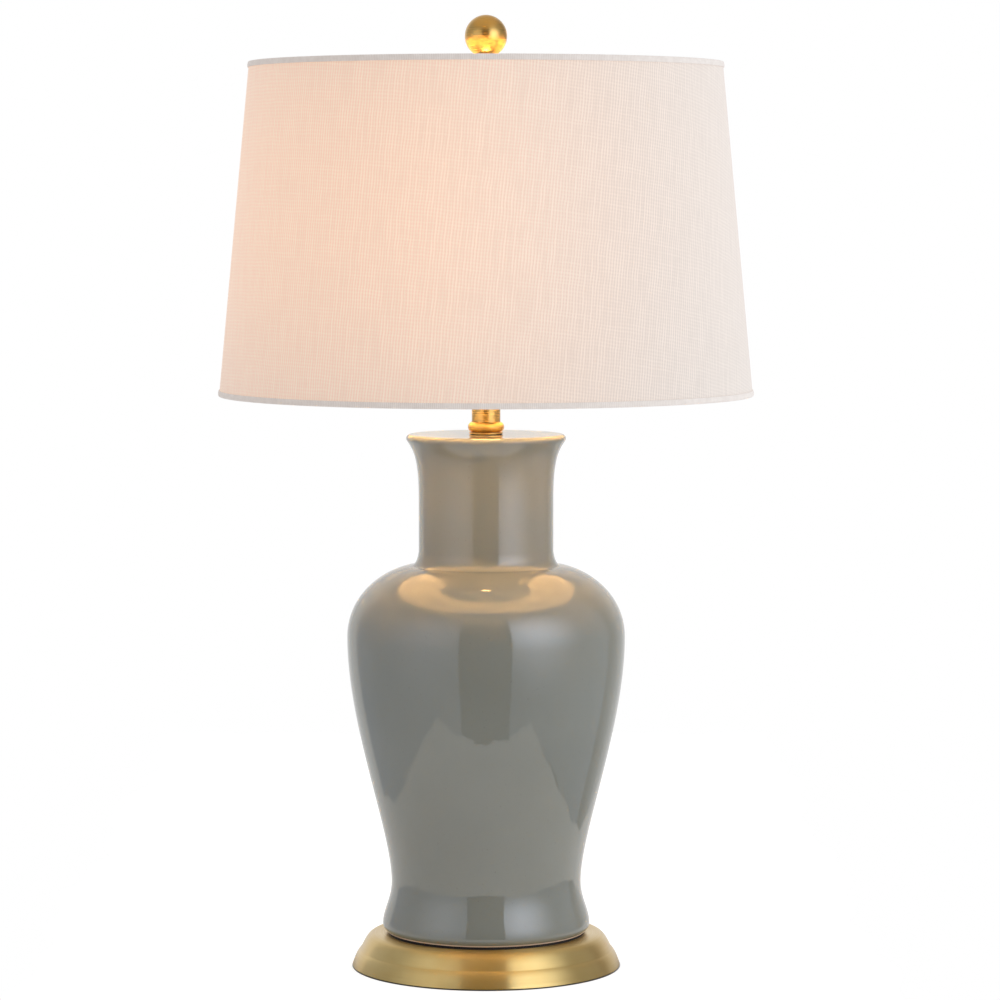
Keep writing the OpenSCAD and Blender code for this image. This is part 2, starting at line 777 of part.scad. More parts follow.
module socket_cap() {
  outside = concat(
    [[hub_d / 2, cap_z], [hub_d / 2, dome_z]],
    rest(curve([[hub_d / 2, dome_z], [hub_d / 2 + dome_soft, dome_z],
                [cap_r + brass_t, rim_z - dome_soft], [cap_r + brass_t, rim_z]])),
    [[cap_r + brass_t, rim_z + cap_rim_h]]
  );
  inside = [for (p = outside) if (p[1] > dome_z + 0.5) p - [brass_t, 0]];
  color("goldenrod") difference() {
    rotate_extrude() polygon(concat(
      [[pipe_hole_r, cap_z]],
      outside,
      reverse(inside),
      [[hub_d / 2, dome_z + brass_t], [pipe_hole_r, dome_z + brass_t]]
    ));
    at(cap_z + hub_h / 2) rotate([0, 90, 0]) cylinder(r = screw_shank_d / 2 + nest_fit, h = hub_d);
  }
}

module cap_screw() {
  head_x = hub_d / 2 + lift_gap;
  head_r = screw_shank_d * 0.8;
  head_t = 1.4;
  color("silver") at(cap_z + hub_h / 2) rotate([0, 90, 0]) {
    at(pipe_r + eps) cylinder(r = screw_shank_d / 2, h = head_x - pipe_r);
    at(head_x) cylinder(r = head_r, h = head_t);
  }
}

// Round way for the switch spindle, from the mould out through the shell
module spindle_way(r) {
  translate([0, over - spindle_in, switch_z]) rotate([90, 0, 0]) cylinder(r = r, h = cap_r);
}

module socket_shell() {
  bottom_z = rim_z + 1;
  bead_r = 0.7;
  bead_z = shell_top_z - 2.4;
  color("goldenrod") difference() {
    union() {
      at(bottom_z) ring(shell_r + brass_t, shell_r, shell_top_z - bottom_z);
      at(bead_z) rotate_extrude() translate([shell_r + brass_t, 0]) circle(r = bead_r);
    }
    at(bead_z - 2 * bead_r) cylinder(r = shell_r, h = 4 * bead_r);
    spindle_way(spindle_d / 2 + spindle_gap);
  }
}

module fibre_sleeve() {
  top_z = shell_top_z - 1;
  color("saddlebrown") difference() {
    at(mould_z) ring(sleeve_r + sleeve_t, sleeve_r, top_z - mould_z);
    spindle_way(spindle_d / 2 + spindle_gap);
  }
}

module socket_mould() {
  flat_h = mould_h - mould_top_t;
  color("darkslategray") difference() {
    at(mould_z) cylinder(r = mould_r, h = mould_h);
    spindle_way(spindle_d / 2 + run_fit);
    for (side = [0, 1]) mirror([side, 0, 0]) {
      translate([mould_flat, -mould_flat_w / 2, mould_z - over])
        cube([mould_r, mould_flat_w, flat_h + over]);
      translate([wire_screw_x, 0, mould_z + wire_screw_h]) rotate([0, 90, 0])
        cylinder(r = screw_shank_d / 2 + nest_fit, h = mould_r);
    }
  }
}

// Brass or silver screw in the side of the mould, for a wire
module terminal_screw(side, tint) {
  head_t = 1.8;
  slot_w = 0.8;
  slot_t = 0.8;
  start_x = wire_screw_x + 0.5;
  head_x = mould_flat + 0.1;
  color(tint) at(mould_z + wire_screw_h) rotate([0, side * 90, 0]) {
    at(start_x) cylinder(r = screw_shank_d / 2, h = head_x - start_x + eps);
    at(head_x) difference() {
      cylinder(r = wire_head_d / 2, h = head_t);
      translate([-slot_w / 2, -wire_head_d, head_t - slot_t])
        cube([slot_w, 2 * wire_head_d, 2 * slot_t]);
    }
  }
}

module live_screw() {
  terminal_screw(-1, "goldenrod");
}

module neutral_screw() {
  terminal_screw(1, "silver");
}

module thread_shell() {
  color("silver") at(thread_z) difference() {
    cylinder(r = thread_r + thread_t, h = thread_h);
    at(thread_t) cylinder(r = thread_r, h = thread_h);
    at(-over) cylinder(r = tip_d / 2 + 2, h = thread_t + 2 * over);
  }
}

module contact_tongue() {
  tongue = [8, 6];
  button_r = 2.5;
  color("goldenrod") {
    translate([-tongue[0] / 2, -tongue[1] / 2, thread_z]) cube([tongue[0], tongue[1], contact_t]);
    at(thread_z + contact_t - eps) cylinder(r = button_r, h = contact_top_z - thread_z - contact_t + eps);
  }
}

module switch_spindle() {
  reach = shell_r + brass_t + knob_gap + spindle_grip;
  color("goldenrod") translate([0, -spindle_in, switch_z]) rotate([90, 0, 0])
    cylinder(r = spindle_d / 2, h = reach - spindle_in);
}

module switch_knob() {
  start = shell_r + brass_t + knob_gap;
  taper = 2;
  flute_r = 1;
  color("goldenrod") difference() {
    translate([0, -start, switch_z]) rotate([90, 0, 0]) union() {
      cylinder(r = knob_d / 2, h = knob_l - taper);
      at(knob_l - taper) cylinder(r1 = knob_d / 2, r2 = knob_d / 2 - 1.5, h = taper);
    }
    translate([0, -start + over, switch_z]) rotate([90, 0, 0])
      cylinder(r = spindle_d / 2 + nest_fit, h = spindle_grip + over);
    for (i = [0:knob_flutes - 1])
      translate([0, -start - 2, switch_z]) rotate([90, 360 / knob_flutes * i, 0])
        translate([knob_d / 2 + 0.4, 0, 0]) cylinder(r = flute_r, h = knob_l);
  }
}

// Lamp bulb

module bulb_tip() {
  color("silver") at(bulb_z) cylinder(r = tip_d / 2, h = tip_t);
}

module bulb_insulator() {
  color("black") at(insulator_z) difference() {
    cylinder(r1 = tip_d / 2 + 2, r2 = bulb_neck_r - 0.5, h = insulator_h);
    at(-over) cylinder(r = tip_d / 2 + run_fit, h = tip_t + over - (insulator_z - bulb_z) + lift_gap);
  }
}

module bulb_screw_cap() {
  color("silver") at(screw_z) difference() {
    cylinder(r = screw_r, h = screw_h);
    at(screw_r - bulb_neck_r) cylinder(r = bulb_neck_r, h = screw_h);
  }
}

module bulb_body() {
  neck_z = screw_z + 6;
  color("whitesmoke") rotate_extrude() polygon(concat(
    [[0, neck_z], [bulb_neck_r - nest_fit, neck_z], [bulb_neck_r - nest_fit, body_z]],
    curve([[screw_r + 0.6, body_z], [screw_r + 2, body_z + bulb_body_h * 0.28],
           [globe_cut_r - 2.4, body_z + bulb_body_h * 0.56], [globe_cut_r, body_z + bulb_body_h]]),
    [[0, body_z + bulb_body_h]]
  ));
}

module led_board() {
  board_gap = 3;
  board_t = 1.6;
  color("khaki") at(body_z + bulb_body_h) cylinder(r = globe_cut_r - globe_wall - board_gap, h = board_t);
}

module bulb_globe() {
  color("white") difference() {
    at(globe_z) sphere(r = globe_r);
    at(globe_z) sphere(r = globe_r - globe_wall);
    at(body_z + bulb_body_h - globe_r) translate([-globe_r, -globe_r, 0]) cube([globe_d, globe_d, globe_r]);
  }
}

// Shade

// Wall of the shade between two depths measured in from the linen's outside
module shade_wall(outer, inner) {
  rotate_extrude() polygon([
    [shade_r(linen_bottom_z) - outer, linen_bottom_z],
    [shade_r(linen_top_z) - outer, linen_top_z],
    [shade_r(linen_top_z) - inner, linen_top_z],
    [shade_r(linen_bottom_z) - inner, linen_bottom_z]
  ]);
}

module shade_linen() {
  color("linen") shade_wall(0, linen_t);
}

module shade_liner() {
  color("white") shade_wall(liner_out, wall_t);
}

// Wires of the spider's arms, from the hub's middle to just under the top ring's middle
module arm_wire(r) {
  hub_mid_z = spider_z + spider_t / 2;
  u = [top_ring_r, top_ring_z - arm_drop] - [0, hub_mid_z];
  for (i = [0:arms - 1]) rotate([0, 0, 90 + 360 / arms * i])
    at(hub_mid_z) rotate([0, atan2(u[0], u[1]), 0]) cylinder(r = r, h = norm(u));
}

// Tape folded over a rim: a leg outside, a bar over the edge and a leg inside the ring wire.
// The edge is the linen's rim, and up is 1 at the top rim and -1 at the bottom rim.
module rim_tape(edge_z, up) {
  inner = wall_t + ring_wire_d + 2 * nest_fit;
  far_z = edge_z - up * tape_h;
  in_z = edge_z - up * tape_in_h;
  over_z = edge_z + up * tape_t;
  rotate_extrude() polygon([
    [shade_r(far_z) + eps, far_z],
    [shade_r(edge_z) + eps, edge_z],
    [shade_r(edge_z) - inner, edge_z],
    [shade_r(edge_z) - inner, in_z],
    [shade_r(edge_z) - inner - tape_t, in_z],
    [shade_r(edge_z) - inner - tape_t, over_z],
    [shade_r(edge_z) + tape_t, over_z],
    [shade_r(far_z) + tape_t, far_z]
  ]);
}

module top_tape() {
  color("lightgray") difference() {
    rim_tape(linen_top_z, 1);
    intersection() {
      arm_wire(arm_d / 2 + nest_fit);
      at(linen_top_z - tape_in_h - over) cylinder(r = top_ring_r, h = tape_in_h + over);
    }
  }
}

module bottom_tape() {
  color("lightgray") rim_tape(linen_bottom_z, -1);
}

module wire_ring(ring_r, r) {
  rotate_extrude() translate([ring_r, 0]) circle(r = r);
}

module top_ring() {
  color("gainsboro") at(top_ring_z) wire_ring(top_ring_r, ring_wire_r);
}

module bottom_ring() {
  color("gainsboro") at(bottom_ring_z) wire_ring(bottom_ring_r, ring_wire_r);
}

module spider_arms() {
  color("gainsboro") difference() {
    arm_wire(arm_d / 2);
    at(spider_z - over) cylinder(r = spider_r + eps, h = spider_t + 2 * over);
    at(top_ring_z) wire_ring(top_ring_r, ring_wire_r + eps);
    at(top_ring_z - arm_d) ring(top_ring_r + 2 * arm_d, top_ring_r, 2 * arm_d);
  }
}

module spider_hub() {
  color("gainsboro") at(spider_z) ring(spider_r, stud_r + slip_fit, spider_t);
}

// Finial

module finial_insert() {
  color("goldenrod") at(stem_z) ring(insert_r, stud_r + run_fit, insert_h);
}

module finial_stem() {
  cove_h = 3.5;
  color("goldenrod") difference() {
    at(stem_z) rotate_extrude() polygon(concat(
      [[0, 0], [stem_foot_d / 2, 0], [stem_foot_d / 2, stem_foot_h]],
      rest(curve([[stem_foot_d / 2, stem_foot_h], [stem_d / 2 + 0.4, stem_foot_h],
                  [stem_d / 2, stem_foot_h + 1], [stem_d / 2, stem_foot_h + cove_h]])),
      [[stem_d / 2, insert_h + 1], [stem_top_d / 2, stem_h], [0, stem_h]]
    ));
    at(stem_z - over) cylinder(r = insert_r + run_fit, h = insert_h + over + lift_gap);
  }
}

module finial_ball() {
  color("goldenrod") difference() {
    at(ball_z) sphere(r = ball_r);
    translate([-ball_r, -ball_r, stem_top_z - ball_d]) cube([ball_d, ball_d, ball_d]);
  }
}

felt_pad();
brass_foot();
iron_weight();
cord_bushing();
foot_washer();
foot_nut();
lamp_pipe();
urn_pad();
urn_body();
soft_washer();
check_ring();
neck_collar();
neck_tube();
harp_saddle();
saddle_nut();
socket_cap();
cap_screw();
socket_shell();
fibre_sleeve();
socket_mould();
thread_shell();
contact_tongue();
live_screw();
neutral_screw();
switch_spindle();
switch_knob();
bulb_tip();
bulb_insulator();
bulb_screw_cap();
bulb_body();
led_board();
bulb_globe();
harp_wire();
harp_seat();
lock_sleeve_left();
lock_sleeve_right();
spider_hub();
spider_arms();
top_ring();
bottom_ring();
shade_liner();
shade_linen();
top_tape();
bottom_tape();
finial_insert();
finial_stem();
finial_ball();
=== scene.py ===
# %% [markdown]
# # A table lamp with a glazed urn
#
# The lamp is a stack clamped on one threaded pipe: a spun brass foot, a slip-cast and glazed urn, a brass
# neck, a socket, and a wire harp that carries a linen drum shade and a brass ball. The CAD model gives
# every piece its size and place. This file gives the pieces their real surfaces: smooth turned walls,
# brushed metal, glass-like glaze and woven cloth. The lamp's lengths are written in millimetres, as on a
# drawing, and become metres when a mesh is made. The camera, the studio and the glow of the cloth are in
# metres.

# %% Load the CAD model
import json
import math

import bpy
import numpy as np
from mathutils import Matrix


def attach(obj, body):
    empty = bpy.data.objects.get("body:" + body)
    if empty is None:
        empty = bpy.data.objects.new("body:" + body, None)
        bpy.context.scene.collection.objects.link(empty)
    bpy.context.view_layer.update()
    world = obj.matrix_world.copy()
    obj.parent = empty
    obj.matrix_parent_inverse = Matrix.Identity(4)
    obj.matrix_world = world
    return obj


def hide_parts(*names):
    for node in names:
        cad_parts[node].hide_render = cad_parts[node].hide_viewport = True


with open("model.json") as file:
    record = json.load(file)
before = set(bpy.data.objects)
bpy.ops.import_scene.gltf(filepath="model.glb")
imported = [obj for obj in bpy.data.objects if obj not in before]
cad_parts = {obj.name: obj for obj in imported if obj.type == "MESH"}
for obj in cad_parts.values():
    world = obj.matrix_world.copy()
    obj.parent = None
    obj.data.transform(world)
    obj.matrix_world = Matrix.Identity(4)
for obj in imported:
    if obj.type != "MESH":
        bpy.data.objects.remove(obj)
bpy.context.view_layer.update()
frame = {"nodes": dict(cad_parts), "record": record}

# %% [markdown]
# ## The camera
#
# A photograph's viewpoint can be found from ellipses: the rims of a shade and a foot are circles of known
# height, and how flat each one looks says how high the camera stands. Here the camera is 2.98 m in front of
# the lamp and looks down by 4.4 degrees through a long lens, so upright lines hardly converge.

# %% Make the camera
SENSOR = 36.0
FOCAL_PIXELS = 3927.0
IMAGE_WIDTH = 1000
EYE = (0.0106, -2.982, 0.588)
LOOKS_DOWN = 0.0771

lens = bpy.data.cameras.new("camera")
lens.sensor_width = SENSOR
lens.lens = FOCAL_PIXELS * SENSOR / IMAGE_WIDTH
lens.clip_start = 0.1
camera = bpy.data.objects.new("camera", lens)
camera.location = EYE
camera.rotation_euler = (math.pi / 2 - LOOKS_DOWN, 0, 0)
bpy.context.scene.collection.objects.link(camera)
bpy.context.scene.camera = camera
bpy.context.scene.view_settings.view_transform = "Standard"
print("lens", round(lens.lens, 1), "mm")

# %% [markdown]
# ## Outlines
#
# Most of a lamp is turned, so each piece starts as half an outline of (radius, height) points. Straight
# runs, arcs and cubic curves are enough for any such outline. They could be drawn as curve objects, but as
# arrays they can be measured, joined and thickened exactly.

# %% Curves for outlines
def bezier(a, b, c, d, count):
    """A cubic curve: the mean of four points with weights (1-t)^3, 3t(1-t)^2, 3t^2(1-t) and t^3, with t
    going from 0 to 1."""
    t = np.linspace(0, 1, count)[:, None]
    a, b, c, d = (np.array(point, float) for point in (a, b, c, d))
    return (1 - t) ** 3 * a + 3 * t * (1 - t) ** 2 * b + 3 * t ** 2 * (1 - t) * c + t ** 3 * d


def arc(centre, radius, start, end, count):
    """Part of a circle: the centre plus the radius times (cos, sin) of angles from start to end, in
    degrees."""
    angle = np.radians(np.linspace(start, end, count))
    return np.array(centre, float) + radius * np.column_stack([np.cos(angle), np.sin(angle)])


def line(a, b, count=2):
    """A straight run: points at equal steps from a to b."""
    return np.linspace(a, b, count)


def joined(*runs):
    """Runs one after the other as one outline, without the points that two runs share."""
    points = np.vstack(runs)
    apart = np.hypot(*np.diff(points, axis=0).T) > 1e-6
    return points[np.concatenate([[True], apart])]


def inset(outline, depth):
    """The outline moved to its left by a depth: each point moves along the outline's normal, its direction
    turned by 90 degrees. Points that end up nearer to the outline than the depth, in tight corners, are
    left out."""
    along = np.gradient(outline, axis=0)
    along /= np.hypot(*along.T)[:, None]
    moved = outline + depth * np.column_stack([-along[:, 1], along[:, 0]])
    gap = np.hypot(*(moved[:, None] - outline[None, :]).transpose(2, 0, 1)).min(axis=1)
    return moved[gap > 0.97 * depth]

# %% [markdown]
# ## Turning an outline
#
# A lathe turns an outline round the axis. In arrays this is one product: every outline point at every
# angle. A Screw modifier would do as well for a plain one, but here the radius may also vary round the
# piece, for a thread or a cut edge. An outline that comes back to its start makes a ring. One that starts
# and ends on the axis is closed there with a fan of triangles, so no hole is left at its pole.

# %% Turned pieces
MM = 0.001


def put(name, points, faces, sharp=40):
    """A new object at the origin from points in millimetres and faces, smooth but for edges sharper than an
    angle in degrees."""
    mesh = bpy.data.meshes.new(name)
    mesh.from_pydata((np.asarray(points) * MM).tolist(), [], faces)
    mesh.polygons.foreach_set("use_smooth", np.ones(len(mesh.polygons), bool))
    mesh.set_sharp_from_angle(angle=math.radians(sharp))
    mesh.validate()
    piece = bpy.data.objects.new(name, mesh)
    bpy.context.scene.collection.objects.link(piece)
    return piece


def turned(name, outline, steps, ring=False, relief=None):
    """A turned surface: the outline's point (r, z) at angle a goes to (r cos a, r sin a, z), with
    relief(a, r, z) added to r. The outline goes up the outside. A ring's outline is a closed loop; any
    other starts and ends on the axis."""
    body = outline if ring else outline[1:-1]
    angle = np.arange(steps) * 2 * np.pi / steps
    r = np.repeat(body[:, :1], steps, axis=1)
    z = np.repeat(body[:, 1:], steps, axis=1)
    if relief:
        r = r + relief(angle[None, :], r, z)
    points = np.stack([r * np.cos(angle), r * np.sin(angle), z], axis=-1).reshape(-1, 3)
    rows = len(body)
    low = np.arange(rows if ring else rows - 1)[:, None]
    here = np.arange(steps)[None, :]
    high, there = (low + 1) % rows, (here + 1) % steps
    corners = (low * steps + here, low * steps + there, high * steps + there, high * steps + here)
    faces = np.stack(np.broadcast_arrays(*corners), axis=-1).reshape(-1, 4).tolist()
    if not ring:
        first, last = len(points), len(points) + 1
        points = np.vstack([points, [0, 0, outline[0, 1]], [0, 0, outline[-1, 1]]])
        top = (rows - 1) * steps
        faces += [(first, (i + 1) % steps, i) for i in range(steps)]
        faces += [(last, top + i, top + (i + 1) % steps) for i in range(steps)]
    return put(name, points, faces)


def fit(piece, body, slot, finish, *nodes):
    """Gives a piece its finish, lets it ride on a body and stand for its CAD nodes. The slot is not
    used."""
    piece.data.materials.clear()
    piece.data.materials.append(finish)
    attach(piece, body)
    if nodes:
        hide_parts(*nodes)
    size = np.array(piece.dimensions) / MM
    print(piece.name, "%.1f x %.1f x %.1f mm," % tuple(size), len(piece.data.polygons), "faces")
    return piece

# %% [markdown]
# ## Colours and nodes
#
# Colours are written as the hex values that a screen shows. Light adds up linearly and screens do not, so
# one function turns each value to linear light. One small helper adds a node with its settings and links,
# which keeps each material short enough to read as a recipe. What most surfaces share, one noise that
# drives colour, roughness and bump together, is a function too.

# %% Helpers for materials
def colour(code):
    """A hex colour as linear red, green, blue and 1: a value up to 0.04045 is divided by 12.92, and a
    higher one has 0.055 added, is divided by 1.055 and goes by the 2.4 power."""
    value = np.array([int(code[i:i + 2], 16) for i in (1, 3, 5)]) / 255
    linear = np.where(value <= 0.04045, value / 12.92, ((value + 0.055) / 1.055) ** 2.4)
    return (*(float(v) for v in linear), 1.0)


def add(tree, kind, inputs=None, **settings):
    """Adds one node and gives its outputs. settings are its own choices; inputs pairs a socket's name or
    number with a value or with an output to link."""
    made = tree.nodes.new("ShaderNode" + kind)
    for choice, value in settings.items():
        setattr(made, choice, value)
    for socket, value in (inputs or {}).items():
        if isinstance(value, bpy.types.NodeSocket):
            tree.links.new(value, made.inputs[socket])
        else:
            made.inputs[socket].default_value = value
    return made.outputs


def recipe(name):
    """A new material with an empty node tree."""
    made = bpy.data.materials.new(name)
    made.use_nodes = True
    made.node_tree.nodes.clear()
    return made, made.node_tree


def shine(tree, inputs):
    """Ends a material: the Principled shader with its inputs, shown as the surface."""
    shader = add(tree, "BsdfPrincipled", inputs)
    add(tree, "OutputMaterial", {"Surface": shader[0]})


def mottled(tree, where, grain, light, dark, rough, depth, detail=3.0):
    """The inputs of an uneven surface: patches of a grain size in mm turn one hex colour to another, change
    the roughness within a range and lift the surface by a depth in mm. Noise mostly lies from 0.3 to 0.7,
    so that part of it is spread over each."""
    patches = add(tree, "TexNoise", {"Vector": where, "Scale": 1000 / grain, "Detail": detail})[0]
    share = add(tree, "MapRange", {0: patches, 1: 0.3, 2: 0.7})[0]
    tint = add(tree, "Mix", {0: share, 6: colour(light), 7: colour(dark)}, data_type="RGBA")[2]
    dull = add(tree, "MapRange", {0: patches, 1: 0.3, 2: 0.7, 3: rough[0], 4: rough[1]})[0]
    bump = add(tree, "Bump", {"Strength": 0.5, "Distance": depth * MM, "Height": patches})[0]
    return {"Base Color": tint, "Roughness": dull, "Normal": bump}


print("mid grey #808080 is", round(colour("#808080")[0], 3), "of full light")

# %% [markdown]
# ## Brushed brass
#
# The foot, neck and ball are spun or turned from brass sheet and bar, brushed on the lathe with a fine
# abrasive pad, and lacquered. Brushing leaves rings round the axis, so a highlight stays sharp round the
# piece and smears along its outline. Anisotropy turned by a quarter does that. On the foot the highlight is
# drawn out into an upright band. The small fittings are brushed more lightly. Their brass is drawn a redder,
# darker gold than the foot's: the redder tint is painted warm light from the bulb, and the darker tone is
# painted shade that tones down their highlights. Real brush lines are 0.1 to 0.3 mm apart, too fine for the
# picture, so they are drawn 0.6 to 0.9 mm apart and very shallow.

# %% Brushed and lacquered brass
def brushed(name, light, dark, rough, lacquer, spacing=0.9, spread=0.98):
    """A turned metal, brushed round its axis. Its lines are noise that changes with radius and height every
    spacing in mm, and only slowly round the piece. They change the roughness; a slow patchiness tints it,
    and a share of lacquer coats it. spread says how far the highlight is drawn out across the lines."""
    made, tree = recipe(name)
    place = add(tree, "TexCoord")["Object"]
    flat = add(tree, "VectorMath", {0: place, 1: (1, 1, 0)}, operation="MULTIPLY")[0]
    radius = add(tree, "VectorMath", {0: flat}, operation="LENGTH")[1]
    parts = add(tree, "SeparateXYZ", {0: place})
    drift = add(tree, "Math", {0: parts[0], 1: 0.02}, operation="MULTIPLY")[0]
    where = add(tree, "CombineXYZ", {0: radius, 1: parts[2], 2: drift})[0]
    lines = add(tree, "TexNoise", {"Vector": where, "Scale": 1000 / spacing, "Detail": 3.0})[0]
    dull = add(tree, "MapRange", {0: lines, 1: 0.3, 2: 0.7, 3: rough - 0.05, 4: rough + 0.05})[0]
    bump = add(tree, "Bump", {"Strength": 0.04, "Distance": 0.2 * MM, "Height": lines})[0]
    slow = add(tree, "TexNoise", {"Vector": place, "Scale": 1000 / 30, "Detail": 2.0})[0]
    share = add(tree, "MapRange", {0: slow, 1: 0.3, 2: 0.7})[0]
    tint = add(tree, "Mix", {0: share, 6: colour(light), 7: colour(dark)}, data_type="RGBA")[2]
    around = add(tree, "Tangent", direction_type="RADIAL", axis="Z")[0]
    shine(tree, {
        "Base Color": tint, "Metallic": 1.0, "Roughness": dull, "Normal": bump,
        "Anisotropic": spread, "Anisotropic Rotation": 0.25, "Tangent": around,
        "Coat Weight": lacquer, "Coat Roughness": 0.22})
    return made


satin_brass = brushed("brushed_lacquered_brass", "#E0C27D", "#D6B56E", 0.34, 0.25)
# Redder and darker than the foot's brass: painted warm light from the bulb and painted shade.
turned_brass_warm_painted = brushed("turned_lacquered_brass_painted_warm", "#D7B064", "#CCA257", 0.3, 0.25, spacing=0.7, spread=0.5)
bare_brass = brushed("turned_bare_brass", "#E6C97F", "#D9B968", 0.24, 0.0, spacing=0.6, spread=0.4)
print("brass", [m.name for m in (satin_brass, turned_brass_warm_painted, bare_brass)])

# %% [markdown]
# ## Other metals
#
# The hidden hardware is plain stock. Zinc plate on steel is bluish and a little patchy, nickel plate is
# brighter and smoother, cast iron keeps the grain of its sand mould, and the bulb's contact is a drop of
# solder. Each gets its own colour and its own scale of unevenness.

# %% Plated and cast metals
def plain_metal(name, light, dark, rough, grain, depth):
    """A metal without a direction, mottled at a grain size in mm and lifted by a depth in mm."""
    made, tree = recipe(name)
    place = add(tree, "TexCoord")["Object"]
    uneven = mottled(tree, place, grain, light, dark, (rough - 0.06, rough + 0.06), depth, 4.0)
    shine(tree, {**uneven, "Metallic": 1.0})
    return made


zinc_steel = plain_metal("zinc_plated_steel", "#C9CDD2", "#AEB4BA", 0.34, 5.0, 0.02)
nickel = plain_metal("nickel_plate", "#D6D0C6", "#C9C2B6", 0.16, 4.0, 0.005)
cast_iron = plain_metal("sand_cast_iron", "#4A4A4C", "#2E2E30", 0.7, 1.6, 0.25)
solder = plain_metal("tin_solder", "#B9BABC", "#9FA1A4", 0.3, 1.2, 0.05)
print("metals", [m.name for m in (zinc_steel, nickel, cast_iron, solder)])

# %% [markdown]
# ## Glaze
#
# The urn is slip-cast stoneware under a clear, glossy grey glaze. A glaze is glass, here one with a high
# index, 1.68: it mirrors about 6 percent head on and nearly everything at a glancing angle. Its surface is
# not quite even, which makes straight reflections waver. It also pools and thins, so its grey drifts a
# little, and where the foot was wiped before firing a pale rim of bare clay shows.

# %% Grey glaze over stoneware
WIPED_LOW, WIPED_HIGH = 28.4, 28.9


def glaze():
    """Glossy grey glaze: slow colour drift, fine iron specks, a wavering surface, and bare clay on the
    lowest millimetre, which fades into glaze between two heights."""
    made, tree = recipe("grey_glaze_on_stoneware")
    place = add(tree, "TexCoord")["Object"]
    height = add(tree, "SeparateXYZ", {0: place})[2]
    slow = add(tree, "TexNoise", {"Vector": place, "Scale": 1000 / 90, "Detail": 2.0})[0]
    drift = add(tree, "MapRange", {0: slow, 1: 0.3, 2: 0.7})[0]
    grey = add(tree, "Mix", {0: drift, 6: colour("#7E817B"), 7: colour("#848781")}, data_type="RGBA")[2]
    grains = add(tree, "TexNoise", {"Vector": place, "Scale": 1000 / 1.6, "Detail": 1.0})[0]
    speck = add(tree, "MapRange", {0: grains, 1: 0.72, 2: 0.8, 3: 0.0, 4: 0.25})[0]
    grey = add(tree, "Mix", {0: speck, 6: grey, 7: colour("#55564F")}, data_type="RGBA")[2]
    wiped = add(tree, "MapRange", {0: height, 1: WIPED_LOW * MM, 2: WIPED_HIGH * MM, 3: 1.0, 4: 0.0})[0]
    skin = add(tree, "Mix", {0: wiped, 6: grey, 7: colour("#D8C3B4")}, data_type="RGBA")[2]
    waver = add(tree, "TexNoise", {"Vector": place, "Scale": 1000 / 14, "Detail": 1.0})[0]
    peel = add(tree, "TexNoise", {"Vector": place, "Scale": 1000 / 2.5, "Detail": 1.0})[0]
    wave = add(tree, "Math", {0: peel, 1: 0.06, 2: waver}, operation="MULTIPLY_ADD")[0]
    bump = add(tree, "Bump", {"Strength": 0.35, "Distance": 0.12 * MM, "Height": wave})[0]
    rough = add(tree, "MapRange", {0: wiped, 1: 0.0, 2: 1.0, 3: 0.03, 4: 0.6})[0]
    shine(tree, {"Base Color": skin, "Roughness": rough, "IOR": 1.68, "Normal": bump})
    return made


grey_glaze = glaze()
print("glaze", grey_glaze.name)

# %% [markdown]
# ## Linen
#
# The shade's cloth is a plain-weave linen laminated to a stiff liner. The cut is part of a flat ring, so
# its threads stay straight on the flat and lean slowly round the cone. The pattern therefore reads the
# cloth's own flat coordinates, kept in its UV map. Thick and thin yarns (slubs) are what make linen look
# like linen. Real yarns lie about 0.5 mm apart, too fine for the picture, so they are drawn 2.3 and 2.6 mm
# apart. The upright ones show most, because the light comes from the sides.

# %% Yarns
CLOTH_UNIT = 1300.0
WARP_PITCH, WEFT_PITCH = 2.26, 2.55
WARP_SHOWS, WEFT_SHOWS = 0.38, 0.13
SLUB_LENGTH = 38.0


def threads(tree, along, across, pitch, strength, wobble):
    """Parallel yarns: the sine of the place across them over their pitch, bent by a wobble, and stronger or
    weaker yarn by yarn and slub by slub."""
    bent = add(tree, "Math", {0: wobble, 1: pitch * 0.9, 2: across}, operation="MULTIPLY_ADD")[0]
    turn = add(tree, "Math", {0: bent, 1: 2 * math.pi / pitch}, operation="MULTIPLY")[0]
    ridge = add(tree, "Math", {0: turn}, operation="SINE")[0]
    step = add(tree, "Math", {0: across, 1: 1 / pitch}, operation="MULTIPLY")[0]
    run = add(tree, "Math", {0: along, 1: 1 / SLUB_LENGTH}, operation="MULTIPLY")[0]
    yarn = add(tree, "CombineXYZ", {0: step, 1: run})[0]
    thick = add(tree, "TexNoise", {"Vector": yarn, "Scale": 1.0, "Detail": 2.0, "Roughness": 0.6})[0]
    weight = add(tree, "MapRange", {0: thick, 1: 0.3, 2: 0.7, 3: strength / 4, 4: 1.6 * strength})[0]
    body = add(tree, "MapRange", {0: thick, 1: 0.3, 2: 0.7, 3: -strength / 2, 4: strength / 2})[0]
    ridge = add(tree, "Math", {0: ridge, 1: weight}, operation="MULTIPLY")[0]
    return add(tree, "Math", {0: ridge, 1: body}, operation="ADD")[0]


def weave(tree):
    """Both sets of yarns on the cloth's flat coordinates, in millimetres, as one height round 0.5."""
    flat = add(tree, "TexCoord")["UV"]
    place = add(tree, "VectorMath", {0: flat, 3: CLOTH_UNIT}, operation="SCALE")[0]
    parts = add(tree, "SeparateXYZ", {0: place})
    wobble = add(tree, "TexNoise", {"Vector": place, "Scale": 0.05, "Detail": 2.0})[0]
    upright = threads(tree, parts[1], parts[0], WARP_PITCH, WARP_SHOWS, wobble)
    level = threads(tree, parts[0], parts[1], WEFT_PITCH, WEFT_SHOWS, wobble)
    both = add(tree, "Math", {0: upright, 1: level}, operation="ADD")[0]
    return add(tree, "Math", {0: both, 1: 0.5}, operation="ADD")[0]


print("yarns every", WARP_PITCH, "and", WEFT_PITCH, "mm")

